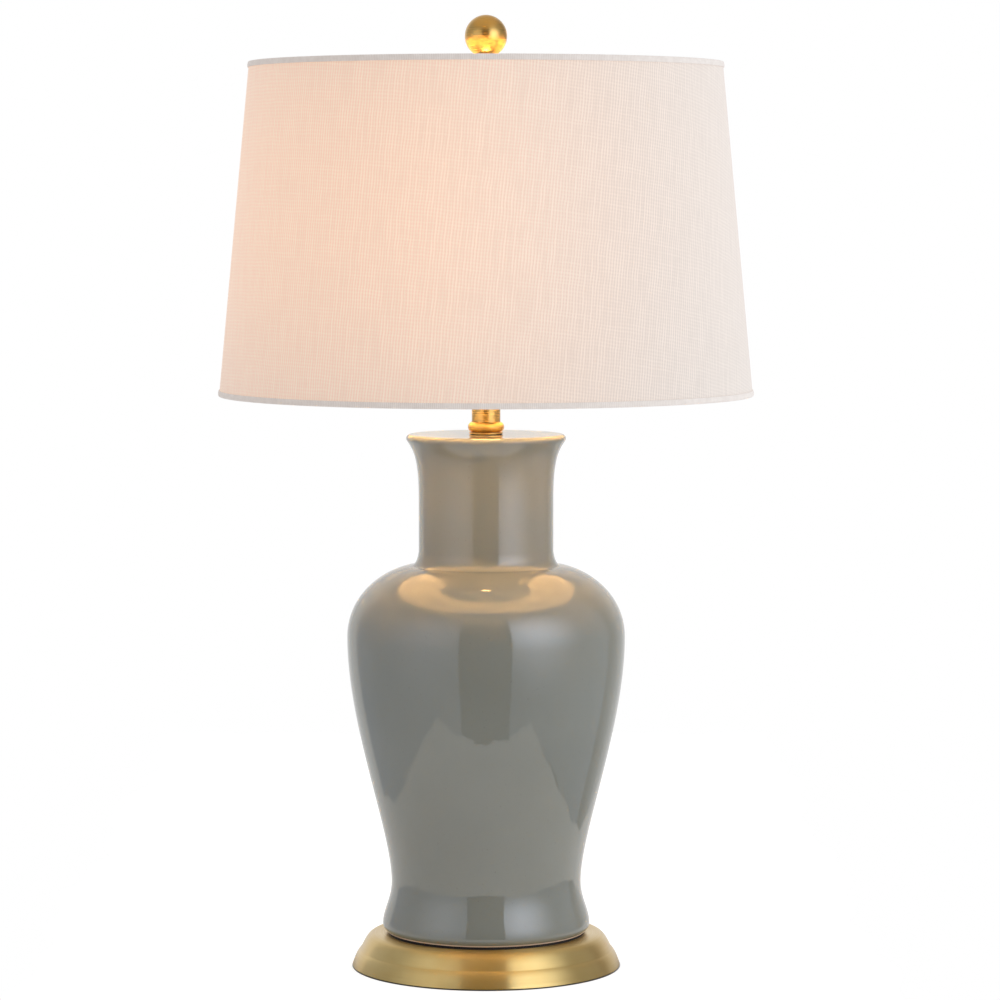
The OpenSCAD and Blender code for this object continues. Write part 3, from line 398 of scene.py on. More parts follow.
# %% [markdown]
# ## The glow in the cloth
#
# The lamp is lit, so the cloth also glows, less with distance from the bulb and unevenly with the weave.
# Tracing that light through cloth and liner would be slow and grainy, so it is given to the cloth as a
# faint light of its own. A camera squeezes bright colours together, so a warm glow pales where the studio's
# light is strong as well: the right side of the shade is given less of it.

# %% Linen lit from inside
BULB = (0.0, 0.0, 0.5683)
GLOW = (0.47, 0.205, 0.055)
GLOW_NEAR, GLOW_FAR = 0.19, 0.245
PALE_FROM, PALE_TO = -0.06, 0.19


def linen():
    """Plain-weave linen with its glow, which falls between two distances from the bulb, and again between
    two places from left to right."""
    made, tree = recipe("plain_weave_linen")
    height = weave(tree)
    skin = add(tree, "Mix", {0: height, 6: colour("#D3CFCC"), 7: colour("#E8E4E0")}, data_type="RGBA")[2]
    place = add(tree, "TexCoord")["Object"]
    away = add(tree, "VectorMath", {0: place, 1: BULB}, operation="DISTANCE")[1]
    near = add(tree, "MapRange", {0: away, 1: GLOW_NEAR, 2: GLOW_FAR, 3: 0.91, 4: 0.62})[0]
    across = add(tree, "SeparateXYZ", {0: place})[0]
    # Painted light: the cloth's glow is drawn weaker towards the right, where the studio's light is strong.
    fade = {0: across, 1: PALE_FROM, 2: PALE_TO, 3: 1.0, 4: 0.22}
    glow_paling = add(tree, "MapRange", fade, interpolation_type="SMOOTHSTEP")[0]
    near = add(tree, "Math", {0: near, 1: glow_paling}, operation="MULTIPLY")[0]
    open_weave = add(tree, "MapRange", {0: height, 1: 0.0, 2: 1.0, 3: 0.92, 4: 1.08})[0]
    glow = add(tree, "Math", {0: near, 1: open_weave}, operation="MULTIPLY")[0]
    warm = add(tree, "VectorMath", {0: GLOW, 3: glow}, operation="SCALE")[0]
    bump = add(tree, "Bump", {"Strength": 0.35, "Distance": 0.3 * MM, "Height": height})[0]
    shine(tree, {
        "Base Color": skin, "Roughness": 0.9, "Sheen Weight": 0.25, "Sheen Roughness": 0.5, "Normal": bump,
        "Emission Color": warm, "Emission Strength": 1.0})
    return made


linen_cloth = linen()
print("linen", linen_cloth.name)

# %% [markdown]
# ## Tape, felt and rubber
#
# The shade's rims are bound with a narrow folded tape of the same fibre, doubled over the wire, so hardly
# any light comes through it and it looks greyer than the cloth. The foot stands on pressed felt, which is
# matt and fuzzy. Rubber and fibre washers keep metal off the glaze.

# %% Tape, felt, rubber and fibre
RIBS_ROUND = 860.0
# The tape's painted glow: a faint warm light of its own for the little bulb light that comes through.
TAPE_GLOW = (0.12, 0.055, 0.015, 1.0)


def matt(name, light, dark, rough, grain, depth, more=None):
    """A matt surface, mottled at a grain size in mm and lifted by a depth in mm. more are other inputs of
    its shader."""
    made, tree = recipe(name)
    place = add(tree, "TexCoord")["Object"]
    uneven = mottled(tree, place, grain, light, dark, (rough - 0.05, rough + 0.05), depth)
    shine(tree, {**uneven, **(more or {})})
    return made


def ribbed_tape():
    """Folded linen tape: fine ribs across it, about 1.4 mm apart, from the sine of the angle round the rim
    times their count, and a soft unevenness."""
    made, tree = recipe("folded_linen_tape")
    place = add(tree, "TexCoord")["Object"]
    parts = add(tree, "SeparateXYZ", {0: place})
    angle = add(tree, "Math", {0: parts[1], 1: parts[0]}, operation="ARCTAN2")[0]
    turn = add(tree, "Math", {0: angle, 1: RIBS_ROUND}, operation="MULTIPLY")[0]
    rib = add(tree, "Math", {0: turn}, operation="SINE")[0]
    patches = add(tree, "TexNoise", {"Vector": place, "Scale": 1000 / 5, "Detail": 3.0})[0]
    height = add(tree, "Math", {0: rib, 1: 0.25, 2: patches}, operation="MULTIPLY_ADD")[0]
    bump = add(tree, "Bump", {"Strength": 0.5, "Distance": 0.3 * MM, "Height": height})[0]
    share = add(tree, "MapRange", {0: height, 1: 0.2, 2: 0.9})[0]
    tint = add(tree, "Mix", {0: share, 6: colour("#D2D3D4"), 7: colour("#E4E6E7")}, data_type="RGBA")[2]
    shine(tree, {
        "Base Color": tint, "Roughness": 0.9, "Sheen Weight": 0.2, "Sheen Roughness": 0.5, "Normal": bump,
        "Emission Color": TAPE_GLOW, "Emission Strength": 1.0})
    return made


edge_tape = ribbed_tape()
felt = matt("pressed_wool_felt", "#2A2622", "#1D1A18", 0.9, 1.2, 0.3,
            {"Sheen Weight": 0.3, "Sheen Roughness": 0.6})
rubber = matt("black_rubber", "#1C1512", "#120E0C", 0.8, 1.5, 0.05)
fibre = matt("vulcanised_fibre", "#8B6B4E", "#6F5138", 0.75, 2.5, 0.05)
print("soft materials", [m.name for m in (edge_tape, felt, rubber, fibre)])

# %% [markdown]
# ## The liner
#
# The linen is laminated to a thin styrene sheet, white and slightly milky. The picture shows it only in the
# glaze, as the warm ring on the urn's shoulder. Light that enters it near the bulb spreads inside and
# leaves it further away. True scattering would take many samples, so the sheet has a faint light of its own
# that grows to the rims.

# %% Styrene liner
LINER_GLOW = (1.0, 0.6, 0.31)


def milky():
    """Milky sheet: a warm light of its own that grows from 0.2 at 190 mm from the bulb to 1.3 at 250 mm."""
    made, tree = recipe("milky_styrene")
    place = add(tree, "TexCoord")["Object"]
    away = add(tree, "VectorMath", {0: place, 1: BULB}, operation="DISTANCE")[1]
    spread = add(tree, "MapRange", {0: away, 1: 0.19, 2: 0.25, 3: 0.2, 4: 1.3})[0]
    warm = add(tree, "VectorMath", {0: LINER_GLOW, 3: spread}, operation="SCALE")[0]
    uneven = mottled(tree, place, 12.0, "#F0ECE4", "#E9E4DB", (0.5, 0.6), 0.02)
    shine(tree, {**uneven, "Emission Color": warm, "Emission Strength": 1.0})
    return made


styrene = milky()
print("liner", styrene.name)

# %% [markdown]
# ## Plastics, enamel and the lit bulb
#
# The socket's body and the bushing are moulded in black phenolic, which has a faint grain from its wood
# filler. The bulb is a moulded white body under an opal globe. The globe is the lamp's light, a warm white
# that lights the liner, the neck and the underside of the ball. The spider and the rims' wires are dipped
# in white enamel.

# %% Plastics, enamel, board and globe
DIODE_GRID, DIODE = 10.0, 2.2
GLOBE_GLOW, GLOBE_LIGHT = (1.0, 0.56, 0.18), 125.0

phenolic = matt("black_phenolic", "#262423", "#1A1918", 0.42, 0.8, 0.02)
white_plastic = matt("white_polycarbonate", "#EDEBE6", "#E5E3DD", 0.35, 6.0, 0.01)
enamel = matt("white_enamel", "#E9E7E2", "#DEDCD6", 0.3, 4.0, 0.03,
              {"Coat Weight": 0.3, "Coat Roughness": 0.1})


def circuit_board():
    """White solder mask with yellow diodes on a square grid: each flat coordinate is folded back and forth
    over half the grid, and a diode lies where both come to less than half its width."""
    made, tree = recipe("diode_board")
    place = add(tree, "TexCoord")["Object"]
    parts = add(tree, "SeparateXYZ", {0: place})
    half = DIODE_GRID / 2 * MM
    near = [add(tree, "Math", {0: parts[i], 1: half}, operation="PINGPONG")[0] for i in (0, 1)]
    far = add(tree, "Math", {0: near[0], 1: near[1]}, operation="MAXIMUM")[0]
    chip = add(tree, "Math", {0: far, 1: DIODE / 2 * MM}, operation="LESS_THAN")[0]
    tint = add(tree, "Mix", {0: chip, 6: colour("#E8E8E2"), 7: colour("#F2D348")}, data_type="RGBA")[2]
    shine(tree, {"Base Color": tint, "Roughness": 0.45})
    return made


def opal():
    """Milky glowing plastic: warm light that dims a little towards the body, where the board shades it."""
    made, tree = recipe("opal_globe_lit")
    place = add(tree, "TexCoord")["Object"]
    height = add(tree, "SeparateXYZ", {0: place})[2]
    share = add(tree, "MapRange", {0: height, 1: 0.545, 2: 0.575, 3: 0.75, 4: 1.0})[0]
    warm = add(tree, "VectorMath", {0: GLOBE_GLOW, 3: share}, operation="SCALE")[0]
    shine(tree, {
        "Base Color": colour("#F4F0E8"), "Roughness": 0.3,
        "Emission Color": warm, "Emission Strength": GLOBE_LIGHT})
    return made


board, opal_globe = circuit_board(), opal()
print("plastics", [m.name for m in (phenolic, white_plastic, enamel, board, opal_globe)])

# %% [markdown]
# ## The foot
#
# The foot was spun from brass sheet over a wooden form: a lower band that flares to the rim, a small step,
# and an upper band that rolls over into the flat top. The CAD solid has the same outline in short straight
# runs. Here the curves are smooth, because brushed metal shows every flat. A Boolean modifier cuts the hole
# for the cord's bushing through the back.

# %% Spin the foot
FOOT_WALL = 1.2
FOOT_TOP = 25.4
FLAT_TOP_RADIUS = 81.5
STEP_OUT, STEP_IN = (96.6, 12.6), (96.1, 13.1)
PIPE_HOLE = 5.1
CORD_HEIGHT = 9.2
CORD_HOLE = 5.2

foot_side = joined(
    bezier((102.5, 0.8), (100.6, 6.5), (99.0, 10.4), STEP_OUT, 48),
    line(STEP_OUT, STEP_IN),
    bezier(STEP_IN, (91.1, 23.4), (89.7, FOOT_TOP), (FLAT_TOP_RADIUS, FOOT_TOP), 56))
foot_hollow = inset(foot_side, FOOT_WALL)
foot_hollow[0] = (foot_side[0, 0] - FOOT_WALL, foot_side[0, 1])
foot_hollow = foot_hollow[foot_hollow[:, 1] < FOOT_TOP - FOOT_WALL - 0.05]
foot = turned("foot", joined(
    foot_side,
    line((FLAT_TOP_RADIUS, FOOT_TOP), (PIPE_HOLE, FOOT_TOP), 12),
    line((PIPE_HOLE, FOOT_TOP - FOOT_WALL), foot_hollow[-1], 12),
    foot_hollow[::-1]), ring=True, steps=256)

drill = turned("drill", joined(
    line((0, 60), (CORD_HOLE, 60)),
    line((CORD_HOLE, 60), (CORD_HOLE, 120)),
    line((CORD_HOLE, 120), (0, 120))), steps=48)
drill.data.transform(Matrix.Translation((0, 0, CORD_HEIGHT * MM)) @ Matrix.Rotation(-math.pi / 2, 4, "X"))
cut = foot.modifiers.new("cord hole", "BOOLEAN")
cut.object, cut.operation, cut.solver = drill, "DIFFERENCE", "EXACT"
bpy.context.view_layer.update()
holed = bpy.data.meshes.new_from_object(foot.evaluated_get(bpy.context.evaluated_depsgraph_get()))
foot.modifiers.clear()
foot.data = holed
foot.data.set_sharp_from_angle(angle=math.radians(40))
bpy.data.objects.remove(drill)
fit(foot, "lamp", "satin_brass", satin_brass, "brass_foot")

# %% [markdown]
# ## The felt
#
# A disc of pressed felt is glued inside the foot's rim and keeps the brass off the table. Its cut edge is
# never quite smooth, so the radius wanders by a tenth of a millimetre, and its lower corner is worn round.

# %% Cut the felt
FELT_RADIUS, FELT_T = 99.7, 2.0
WORN, CRISP = 0.6, 0.3


def cut_edge(angle, r, z):
    """The wander of a hand-cut edge: a sum of three sines of the angle, growing from nothing at half the
    radius."""
    wander = 0.06 * np.sin(7 * angle) + 0.04 * np.sin(23 * angle + 1) + 0.03 * np.sin(61 * angle + 2)
    return wander * np.clip(r / FELT_RADIUS * 2 - 1, 0, 1)


felt_disc = turned("felt_disc", joined(
    line((0, 0), (FELT_RADIUS - WORN, 0), 8),
    arc((FELT_RADIUS - WORN, WORN), WORN, -90, 0, 5),
    arc((FELT_RADIUS - CRISP, FELT_T - CRISP), CRISP, 0, 90, 4),
    line((FELT_RADIUS - CRISP, FELT_T), (0, FELT_T), 8)), steps=256, relief=cut_edge)
fit(felt_disc, "lamp", "felt", felt, "felt_pad")

# %% [markdown]
# ## The urn
#
# The urn is one revolved outline: a rolled foot, a waist, a long belly, a shoulder that turns over almost
# flat, a fillet into the straight neck, a flared lip and a closed top with a hole for the pipe. The glaze
# mirrors like glass, so its curvature has to flow. Cubic curves that share their end directions give that,
# where a form modelled from flat faces would show each of them in the reflections. The runs below follow
# that order, from the foot up. The hollow is never seen and keeps every fourth point.

# %% Cast the urn
URN_WALL = 6.0
URN_BASE = 27.6
URN_TOP = 407.9
URN_FLOOR, URN_ROOF = URN_BASE + URN_WALL, URN_TOP - URN_WALL
LIP_WIDE, LIP_ROUND, LIP_LEAN = 60.8, 3.0, 33.0

lip_edge = arc((LIP_WIDE - LIP_ROUND, URN_TOP - LIP_ROUND), LIP_ROUND, -LIP_LEAN, 90, 20)
lip_run = 8.0 * np.array([math.sin(math.radians(LIP_LEAN)), math.cos(math.radians(LIP_LEAN))])
urn_side = joined(
    arc((74.2, 32.6), 5.0, -60, 0, 14),
    bezier((79.2, 32.6), (79.2, 42.6), (72.5, 51.0), (72.5, 65.0), 40),
    bezier((72.5, 65.0), (72.5, 103.6), (106.0, 185.0), (106.0, 253.0), 72),
    bezier((106.0, 253.0), (106.0, 286.0), (77.93, 305.08), (56.7, 307.8), 66),
    bezier((56.7, 307.8), (53.72, 308.18), (51.3, 314.3), (51.3, 320.8), 30),
    line((51.3, 320.8), (51.3, 359.8), 14),
    bezier((51.3, 359.8), (51.3, 390.8), lip_edge[0] - lip_run, lip_edge[0], 50))
urn_hollow = inset(urn_side, URN_WALL)
inside = (urn_hollow[:, 1] > URN_FLOOR + 0.3) & (urn_hollow[:, 1] < URN_ROOF - 0.3)
urn_hollow = urn_hollow[inside][::4]
urn = turned("urn", joined(
    line((PIPE_HOLE, URN_BASE), (76.5, URN_BASE), 10),
    urn_side,
    lip_edge,
    line(lip_edge[-1], (PIPE_HOLE, URN_TOP), 14),
    line((PIPE_HOLE, URN_ROOF), (urn_hollow[-1, 0], URN_ROOF), 6),
    urn_hollow[::-1],
    line((urn_hollow[0, 0], URN_FLOOR), (PIPE_HOLE, URN_FLOOR), 6)), ring=True, steps=224)
fit(urn, "lamp", "grey_glaze", grey_glaze, "urn_body")
print("waist", 2 * urn_side[:, 0].min(), "belly", 2 * urn_side[:, 0].max(), "mm across")

# %% [markdown]
# ## The neck's collar
#
# A rounded brass collar stands on the check ring and takes the tube in a shallow seat. The narrow gap that
# is left round the tube shows as a dark groove, so the seat is modelled and not painted. The bead's arc
# ends at the seat: the angle whose cosine is the seat's radius less that of the bead's centre, over the
# bead's own.

# %% Turn the collar
COLLAR_LOW, BEAD, BEAD_CENTRE = 409.5, 4.05, 9.75
SEAT_RADIUS, SEAT_HEIGHT = 11.3, 416.4

seat_corner = math.degrees(math.acos((SEAT_RADIUS - BEAD_CENTRE) / BEAD))
bead = arc((BEAD_CENTRE, COLLAR_LOW + BEAD), BEAD, -90, seat_corner, 40)
collar = turned("collar", joined(
    line((PIPE_HOLE, COLLAR_LOW), bead[0], 3),
    bead,
    line(bead[-1], (SEAT_RADIUS, SEAT_HEIGHT), 3),
    line((SEAT_RADIUS, SEAT_HEIGHT), (PIPE_HOLE, SEAT_HEIGHT), 3)), ring=True, steps=128)
fit(collar, "lamp", "satin_brass", turned_brass_warm_painted, "neck_collar")

# %% [markdown]
# ## The bulb
#
# The bulb has the common 26 mm screw base. Its thread is rolled from thin sheet, so it is a rounded wave
# and not a cut V: the radius is a cosine of height over pitch less the angle over a full turn, which makes
# a right-hand helix. The wave fades out at both ends of the cap. The body and globe are turned outlines
# that meet in a fine groove.

# %% Roll the screw cap, mould the body, blow the globe
PITCH = 25.4 / 7
CAP_LOW, CAP_HIGH, BODY_TOP = 493.8, 515.3, 547.3
THREAD_LOW, THREAD_HIGH, THREAD_DEPTH, THREAD_FADE = 496.6, 513.6, 0.9, 1.5
GLOBE_HEIGHT, GLOBE_RADIUS, GLOBE_WALL = 568.3, 30.0, 1.5


def rolled_thread(angle, r, z):
    """A rounded thread: up to its depth off the radius, by half of one less the cosine along the helix,
    only on the wall between the cap's ends."""
    rises = np.clip((z - THREAD_LOW) / THREAD_FADE, 0, 1)
    ends = np.clip((THREAD_HIGH - z) / THREAD_FADE, 0, 1)
    on_wall = rises * ends * (r > 11)
    return -THREAD_DEPTH * on_wall * (0.5 - 0.5 * np.cos(2 * np.pi * z / PITCH - angle))


screw_cap = turned("bulb_cap", joined(
    line((0, CAP_LOW), (10.6, CAP_LOW), 4),
    bezier((10.6, CAP_LOW), (12.3, CAP_LOW), (13.05, 494.6), (13.05, 496.4), 8),
    line((13.05, 496.4), (13.05, 514.6), 110),
    arc((12.85, 515.1), 0.2, 0, 180, 5),
    line((12.65, 514.6), (12.65, 496.4), 110),
    line((12.4, 494.4), (0, 494.4), 4)), steps=96, relief=rolled_thread)
fit(screw_cap, "bulb", "nickel", nickel, "bulb_screw_cap")

bulb_housing = turned("bulb_housing", joined(
    line((0, 499.8), (11.5, 499.8), 3),
    line((11.5, 499.8), (11.5, CAP_HIGH - 0.1), 3),
    line((11.5, CAP_HIGH + 0.05), (13.5, CAP_HIGH + 0.05), 3),
    bezier((13.7, CAP_HIGH + 0.3), (15.1, 524.3), (19.0, 533.2), (21.35, 546.4), 36),
    arc((20.9, 546.5), 0.4, 0, 90, 5),
    line((20.6, BODY_TOP - 0.4), (19.0, BODY_TOP), 3),
    line((19.0, BODY_TOP), (0, BODY_TOP), 3)), steps=96)
fit(bulb_housing, "bulb", "white_plastic", white_plastic, "bulb_body")

globe = turned("globe", joined(
    arc((0, GLOBE_HEIGHT), GLOBE_RADIUS - GLOBE_WALL, 90, -46, 28),
    arc((0, GLOBE_HEIGHT), GLOBE_RADIUS, -44.4, 90, 30)), steps=48)
fit(globe, "bulb", "opal_globe", opal_globe, "bulb_globe")

# %% [markdown]
# ## The shade's linen
#
# The cover is a sheet of linen glued round the liner. Cut flat, it is part of a ring, as a paper cone is
# when it is opened. Each point of the cone therefore has a place on the flat cloth: its distance from the
# cone's apex, turned by the angle round the cone times the sine of the cone's half angle. The threads lie
# straight on that flat cut, and follow the slant only where the cut's middle is, at the left. The ends
# overlap at the right, a little behind, and the upper one shows its cut edge.

# %% Wrap the linen
LOW_RADIUS, HIGH_RADIUS = 202.32, 178.68
LOW_EDGE, HIGH_EDGE = 438.4, 688.6
LINEN_T = 0.6
CUT_MIDDLE = math.radians(-60)
LAP_WIDTH, LAP_EASE, LAP_LIFT = 22.0, 14.0, 0.55
slant = math.hypot(HIGH_EDGE - LOW_EDGE, LOW_RADIUS - HIGH_RADIUS)
cone_sine = (LOW_RADIUS - HIGH_RADIUS) / slant


def wrapped_cloth(name, columns=720, rows=24):
    """A cone of cloth with two faces. Angle a from the front and height z give (R sin a, -R cos a, z), R
    going evenly from the low to the high radius. The flat place is (d sin b, d cos b), where d is R over
    the sine of the half angle and b is a times that sine. Past the cut edge the cloth lies over its other
    end: it is lifted by the lap's lift times 3s^2 - 2s^3, where s falls from 1 to 0 over the ease, which
    ends at the lap's width."""
    turn = np.linspace(-np.pi, np.pi, columns + 1) + CUT_MIDDLE
    share = np.linspace(0, 1, rows + 1)[:, None]
    radius = LOW_RADIUS + (HIGH_RADIUS - LOW_RADIUS) * share
    height = np.broadcast_to(LOW_EDGE + (HIGH_EDGE - LOW_EDGE) * share, (rows + 1, columns))
    past_edge = radius * (turn[None, :-1] - turn[0])
    lap = np.clip((LAP_WIDTH - past_edge) / LAP_EASE, 0, 1)
    lap = LAP_LIFT * lap * lap * (3 - 2 * lap)
    sides = []
    for reach in (radius + lap, np.broadcast_to(radius - LINEN_T, lap.shape)):
        x, y = reach * np.sin(turn[:-1]), -reach * np.cos(turn[:-1])
        sides.append(np.stack([x, y, height], axis=-1).reshape(-1, 3))
    far = radius / cone_sine
    bend = (turn - CUT_MIDDLE)[None, :] * cone_sine
    flat = np.stack([far * np.sin(bend), far * np.cos(bend)], axis=-1)
    flat = (flat - flat.reshape(-1, 2).min(axis=0)) / CLOTH_UNIT
    low, here = np.arange(rows)[:, None], np.arange(columns)[None, :]
    corners = ((low, here), (low, here + 1), (low + 1, here + 1), (low + 1, here))
    numbers = np.broadcast_arrays(*(i * columns + j % columns for i, j in corners))
    outer = np.stack(numbers, axis=-1).reshape(-1, 4)
    place = np.stack([flat[i, j] for i, j in corners], axis=2).reshape(-1, 4, 2)
    inner = outer[:, ::-1] + len(sides[0])
    rims, rim_place = [], []
    for row, swap in ((0, True), (rows, False)):
        a, b = row * columns + here[0], row * columns + (here[0] + 1) % columns
        quad = np.stack([a, b, b + len(sides[0]), a + len(sides[0])], axis=-1)
        edge = np.stack([flat[row, :-1], flat[row, 1:], flat[row, 1:], flat[row, :-1]], axis=1)
        rims.append(quad[:, ::-1] if swap else quad)
        rim_place.append(edge[:, ::-1] if swap else edge)
    faces = np.vstack([outer, inner, *rims])
    islands = [place, place[:, ::-1] + (0, 0.4), *[edge + (0, 0.7) for edge in rim_place]]
    uv = np.concatenate(islands).reshape(-1, 2)
    cloth = put(name, np.vstack(sides), faces.tolist(), sharp=50)
    cloth.data.uv_layers.new(name="flat_cut").data.foreach_set("uv", uv.astype(np.float32).ravel())
    return cloth, flat * CLOTH_UNIT


linen_cover, flat_cut = wrapped_cloth("linen_cover")
fit(linen_cover, "shade", "linen", linen_cloth, "shade_linen")

# %% [markdown]
# ## The edge tapes
#
# Each rim is bound with a folded tape: it lies flat on the linen for 3.6 mm, rolls over the edge and goes a
# little further inside, round the wire ring. Its outline is a hook with rounded corners and a slightly
# swollen outside.

# %% Fold the tapes
TAPE_T, TAPE_OUT, TAPE_IN, RIM_DEPTH = 0.8, 3.6, 5.4, 4.6


def folded(name, node, radius, edge, up):
    """A tape round a rim, up being 1 at the top and -1 at the bottom: a closed hook of the tape's
    thickness. Its points are (radius, depth below the rim), and the outside follows the cone, whose radius
    grows by its lean for each millimetre of depth."""
    grow = up * (LOW_RADIUS - HIGH_RADIUS) / (HIGH_EDGE - LOW_EDGE)
    face = radius + TAPE_T
    low = face + grow * TAPE_OUT
    deep = radius - RIM_DEPTH
    hook = joined(
        arc((radius - 0.1, 0.1), TAPE_T + 0.1, -90, 0, 8),
        bezier((face, 0.1), (face + grow + 0.3, 1), (face + grow * 2 + 0.3, 2.4), (low, TAPE_OUT - 0.3), 12),
        arc((low - 0.3, TAPE_OUT - 0.3), 0.3, 0, 90, 4),
        line((low - TAPE_T + 0.02, TAPE_OUT), (radius + 0.02, 0.02), 4),
        line((radius, 0), (deep, 0), 6),
        line((deep, 0.02), (deep, TAPE_IN - 0.2), 4),
        arc((deep - TAPE_T / 2, TAPE_IN - 0.2), TAPE_T / 2, 30, 150, 5),
        line((deep - TAPE_T, TAPE_IN - 0.3), (deep - TAPE_T, 0.2), 4),
        arc((deep, 0.0), TAPE_T, 180, 268, 8))
    hook[:, 1] = edge - up * hook[:, 1]
    tape = turned(name, hook if up < 0 else hook[::-1], ring=True, steps=288)
    return fit(tape, "shade", "edge_tape", edge_tape, node)


low_tape = folded("bottom_edge_tape", "bottom_tape", LOW_RADIUS, LOW_EDGE, -1)
high_tape = folded("top_edge_tape", "top_tape", HIGH_RADIUS, HIGH_EDGE, 1)

# %% [markdown]
# ## Finishes for the CAD pieces
#
# The other pieces keep their CAD meshes, which are exact cylinders, cones, rings and bent wires. Each takes
# the finish of its slot in the record, but for some of the brass: pieces that were drawn or stamped were
# never on a lathe, so theirs has no rings. The socket's inner shell has a thread that its CAD mesh leaves
# out, so its material lifts it with bump, which is enough so deep inside.

# %% Drawn brass and the socket's rolled thread
drawn_brass = plain_metal("drawn_brass_plate", "#E0BE7A", "#D2AA62", 0.24, 6.0, 0.01)


def rolled_shell():
    """Aluminium with a rolled thread: the sine of a full turn for each pitch of height, less the angle
    round the piece, lifts the surface by 0.4 mm. Its grooves are painted darker than its crests: painted
    shade."""
    made, tree = recipe("rolled_thread_aluminium")
    place = add(tree, "TexCoord")["Object"]
    parts = add(tree, "SeparateXYZ", {0: place})
    angle = add(tree, "Math", {0: parts[1], 1: parts[0]}, operation="ARCTAN2")[0]
    climb = add(tree, "Math", {0: parts[2], 1: 2 * math.pi / (PITCH * MM)}, operation="MULTIPLY")[0]
    helix = add(tree, "Math", {0: climb, 1: angle}, operation="SUBTRACT")[0]
    wave = add(tree, "Math", {0: helix}, operation="SINE")[0]
    bump = add(tree, "Bump", {"Strength": 1.0, "Distance": 0.4 * MM, "Height": wave})[0]
    # Painted shade: darker in the thread's grooves, lighter on its crests.
    share = add(tree, "MapRange", {0: wave, 1: -1.0, 2: 1.0})[0]
    tint = add(tree, "Mix", {0: share, 6: colour("#BFC0C3"), 7: colour("#DCDDDF")}, data_type="RGBA")[2]
    shine(tree, {"Base Color": tint, "Metallic": 1.0, "Roughness": 0.28, "Normal": bump})
    return made


thread_aluminium = rolled_shell()
print("more metals", [m.name for m in (drawn_brass, thread_aluminium)])

# %% [markdown]
# ## Giving out the finishes
#
# A finish goes on the object and not on its mesh, so the CAD mesh stays as it was loaded. One list says
# what each slot of the record is made of, the other which pieces have a finish of their own.

# %% Give each CAD piece its finish
finishes = {
    "felt": felt, "satin_brass": satin_brass, "bare_brass": bare_brass, "cast_iron": cast_iron,
    "black_plastic": phenolic, "zinc_steel": zinc_steel, "black_rubber": rubber, "grey_glaze": grey_glaze,
    "fibre_board": fibre, "bare_aluminium": thread_aluminium, "solder": solder, "nickel": nickel,
    "white_plastic": white_plastic, "led_white": board, "opal_globe": opal_globe, "white_enamel": enamel,
    "styrene_liner": styrene, "linen": linen_cloth, "edge_tape": edge_tape}
drawn = ("harp_wire", "harp_saddle", "harp_seat", "lock_sleeve_left", "lock_sleeve_right")
lathe_turned = ("check_ring", "neck_tube", "finial_stem", "finial_ball")
own_finish = {**dict.fromkeys(drawn, drawn_brass), **dict.fromkeys(lathe_turned, turned_brass_warm_painted)}
for part in frame["record"]["subparts"]:
    shown = frame["nodes"][part["node"]]
    for holder in shown.material_slots:
        holder.link = "OBJECT"
        holder.material = own_finish.get(part["node"]) or finishes[part["material_slot"]]
print("finishes given to", len(frame["nodes"]), "CAD pieces")

# %% [markdown]
# ## The studio
#
# A product photograph of a glossy urn is mostly a photograph of the studio in it. The reflections in this
# one can be traced back: the lamp stands on a white sheet about 0.65 m wide whose near edge is 0.4 m in
# front of it. The camera sees the sheet white, but for a thin ring of contact shadow, painted by taking its
# white glow away round the foot. Mirrors see it darker near the foot, a painted shadow of the lamp, which
# keeps the light off it.

# %% Lay the sheet
SHEET = (-0.35, 0.305, -0.40, 1.3)
SHEET_DROP = 0.0002
SHADOW_IN, SHADOW_OUT = 0.1022, 0.1034
MIRRORED_SHADOW_IN, MIRRORED_SHADOW_OUT = 0.103, 0.19


def staged(name, points, faces, finish, **seen):
    """A piece of the studio from points in metres, which is not part of the lamp. seen switches kinds of
    rays on or off."""
    mesh = bpy.data.meshes.new(name)
    mesh.from_pydata([tuple(float(v) for v in p) for p in points], [], faces)
    mesh.materials.append(finish)
    piece = bpy.data.objects.new(name, mesh)
    bpy.context.scene.collection.objects.link(piece)
    for ray, is_seen in seen.items():
        setattr(piece, "visible_" + ray, is_seen)


def torn_sheet(x0, x1, y0, y1, count=60):
    """A hand-torn rectangle: points along its four sides, each moved by a sum of two sines of its number,
    of up to 12 mm."""
    corners = np.array([(x0, y0), (x1, y0), (x1, y1), (x0, y1), (x0, y0)], float)
    sides = zip(corners[:-1], corners[1:])
    place = np.vstack([np.linspace(a, b, count, endpoint=False) for a, b in sides])
    number = np.arange(len(place))[:, None]
    long_wave = 0.007 * np.sin(number * (0.37, 0.41) + (0, 2))
    short_wave = 0.005 * np.sin(number * (1.3, 1.1) + (1, 3))
    return np.column_stack([place + long_wave + short_wave, np.full(len(place), -SHEET_DROP)])


paper, tree = recipe("white_studio_sheet")
rays = add(tree, "LightPath")
looked_at = add(tree, "Math", {0: rays["Is Camera Ray"], 1: rays["Is Glossy Ray"]}, operation="MAXIMUM")[0]
pale = add(tree, "BsdfDiffuse", {"Color": colour("#F2F1EF")})
seen_pale = add(tree, "BsdfDiffuse", {"Color": colour("#979797")})
place = add(tree, "TexCoord")["Object"]
out = add(tree, "VectorMath", {0: place}, operation="LENGTH")[1]
# Painted contact shadow: the sheet's white glow is taken away in a thin ring round the foot, so its real
# diffuse shadow shows.
level = add(tree, "MapRange", {0: out, 1: SHADOW_IN, 2: SHADOW_OUT, 3: 0.0, 4: 0.84})[0]
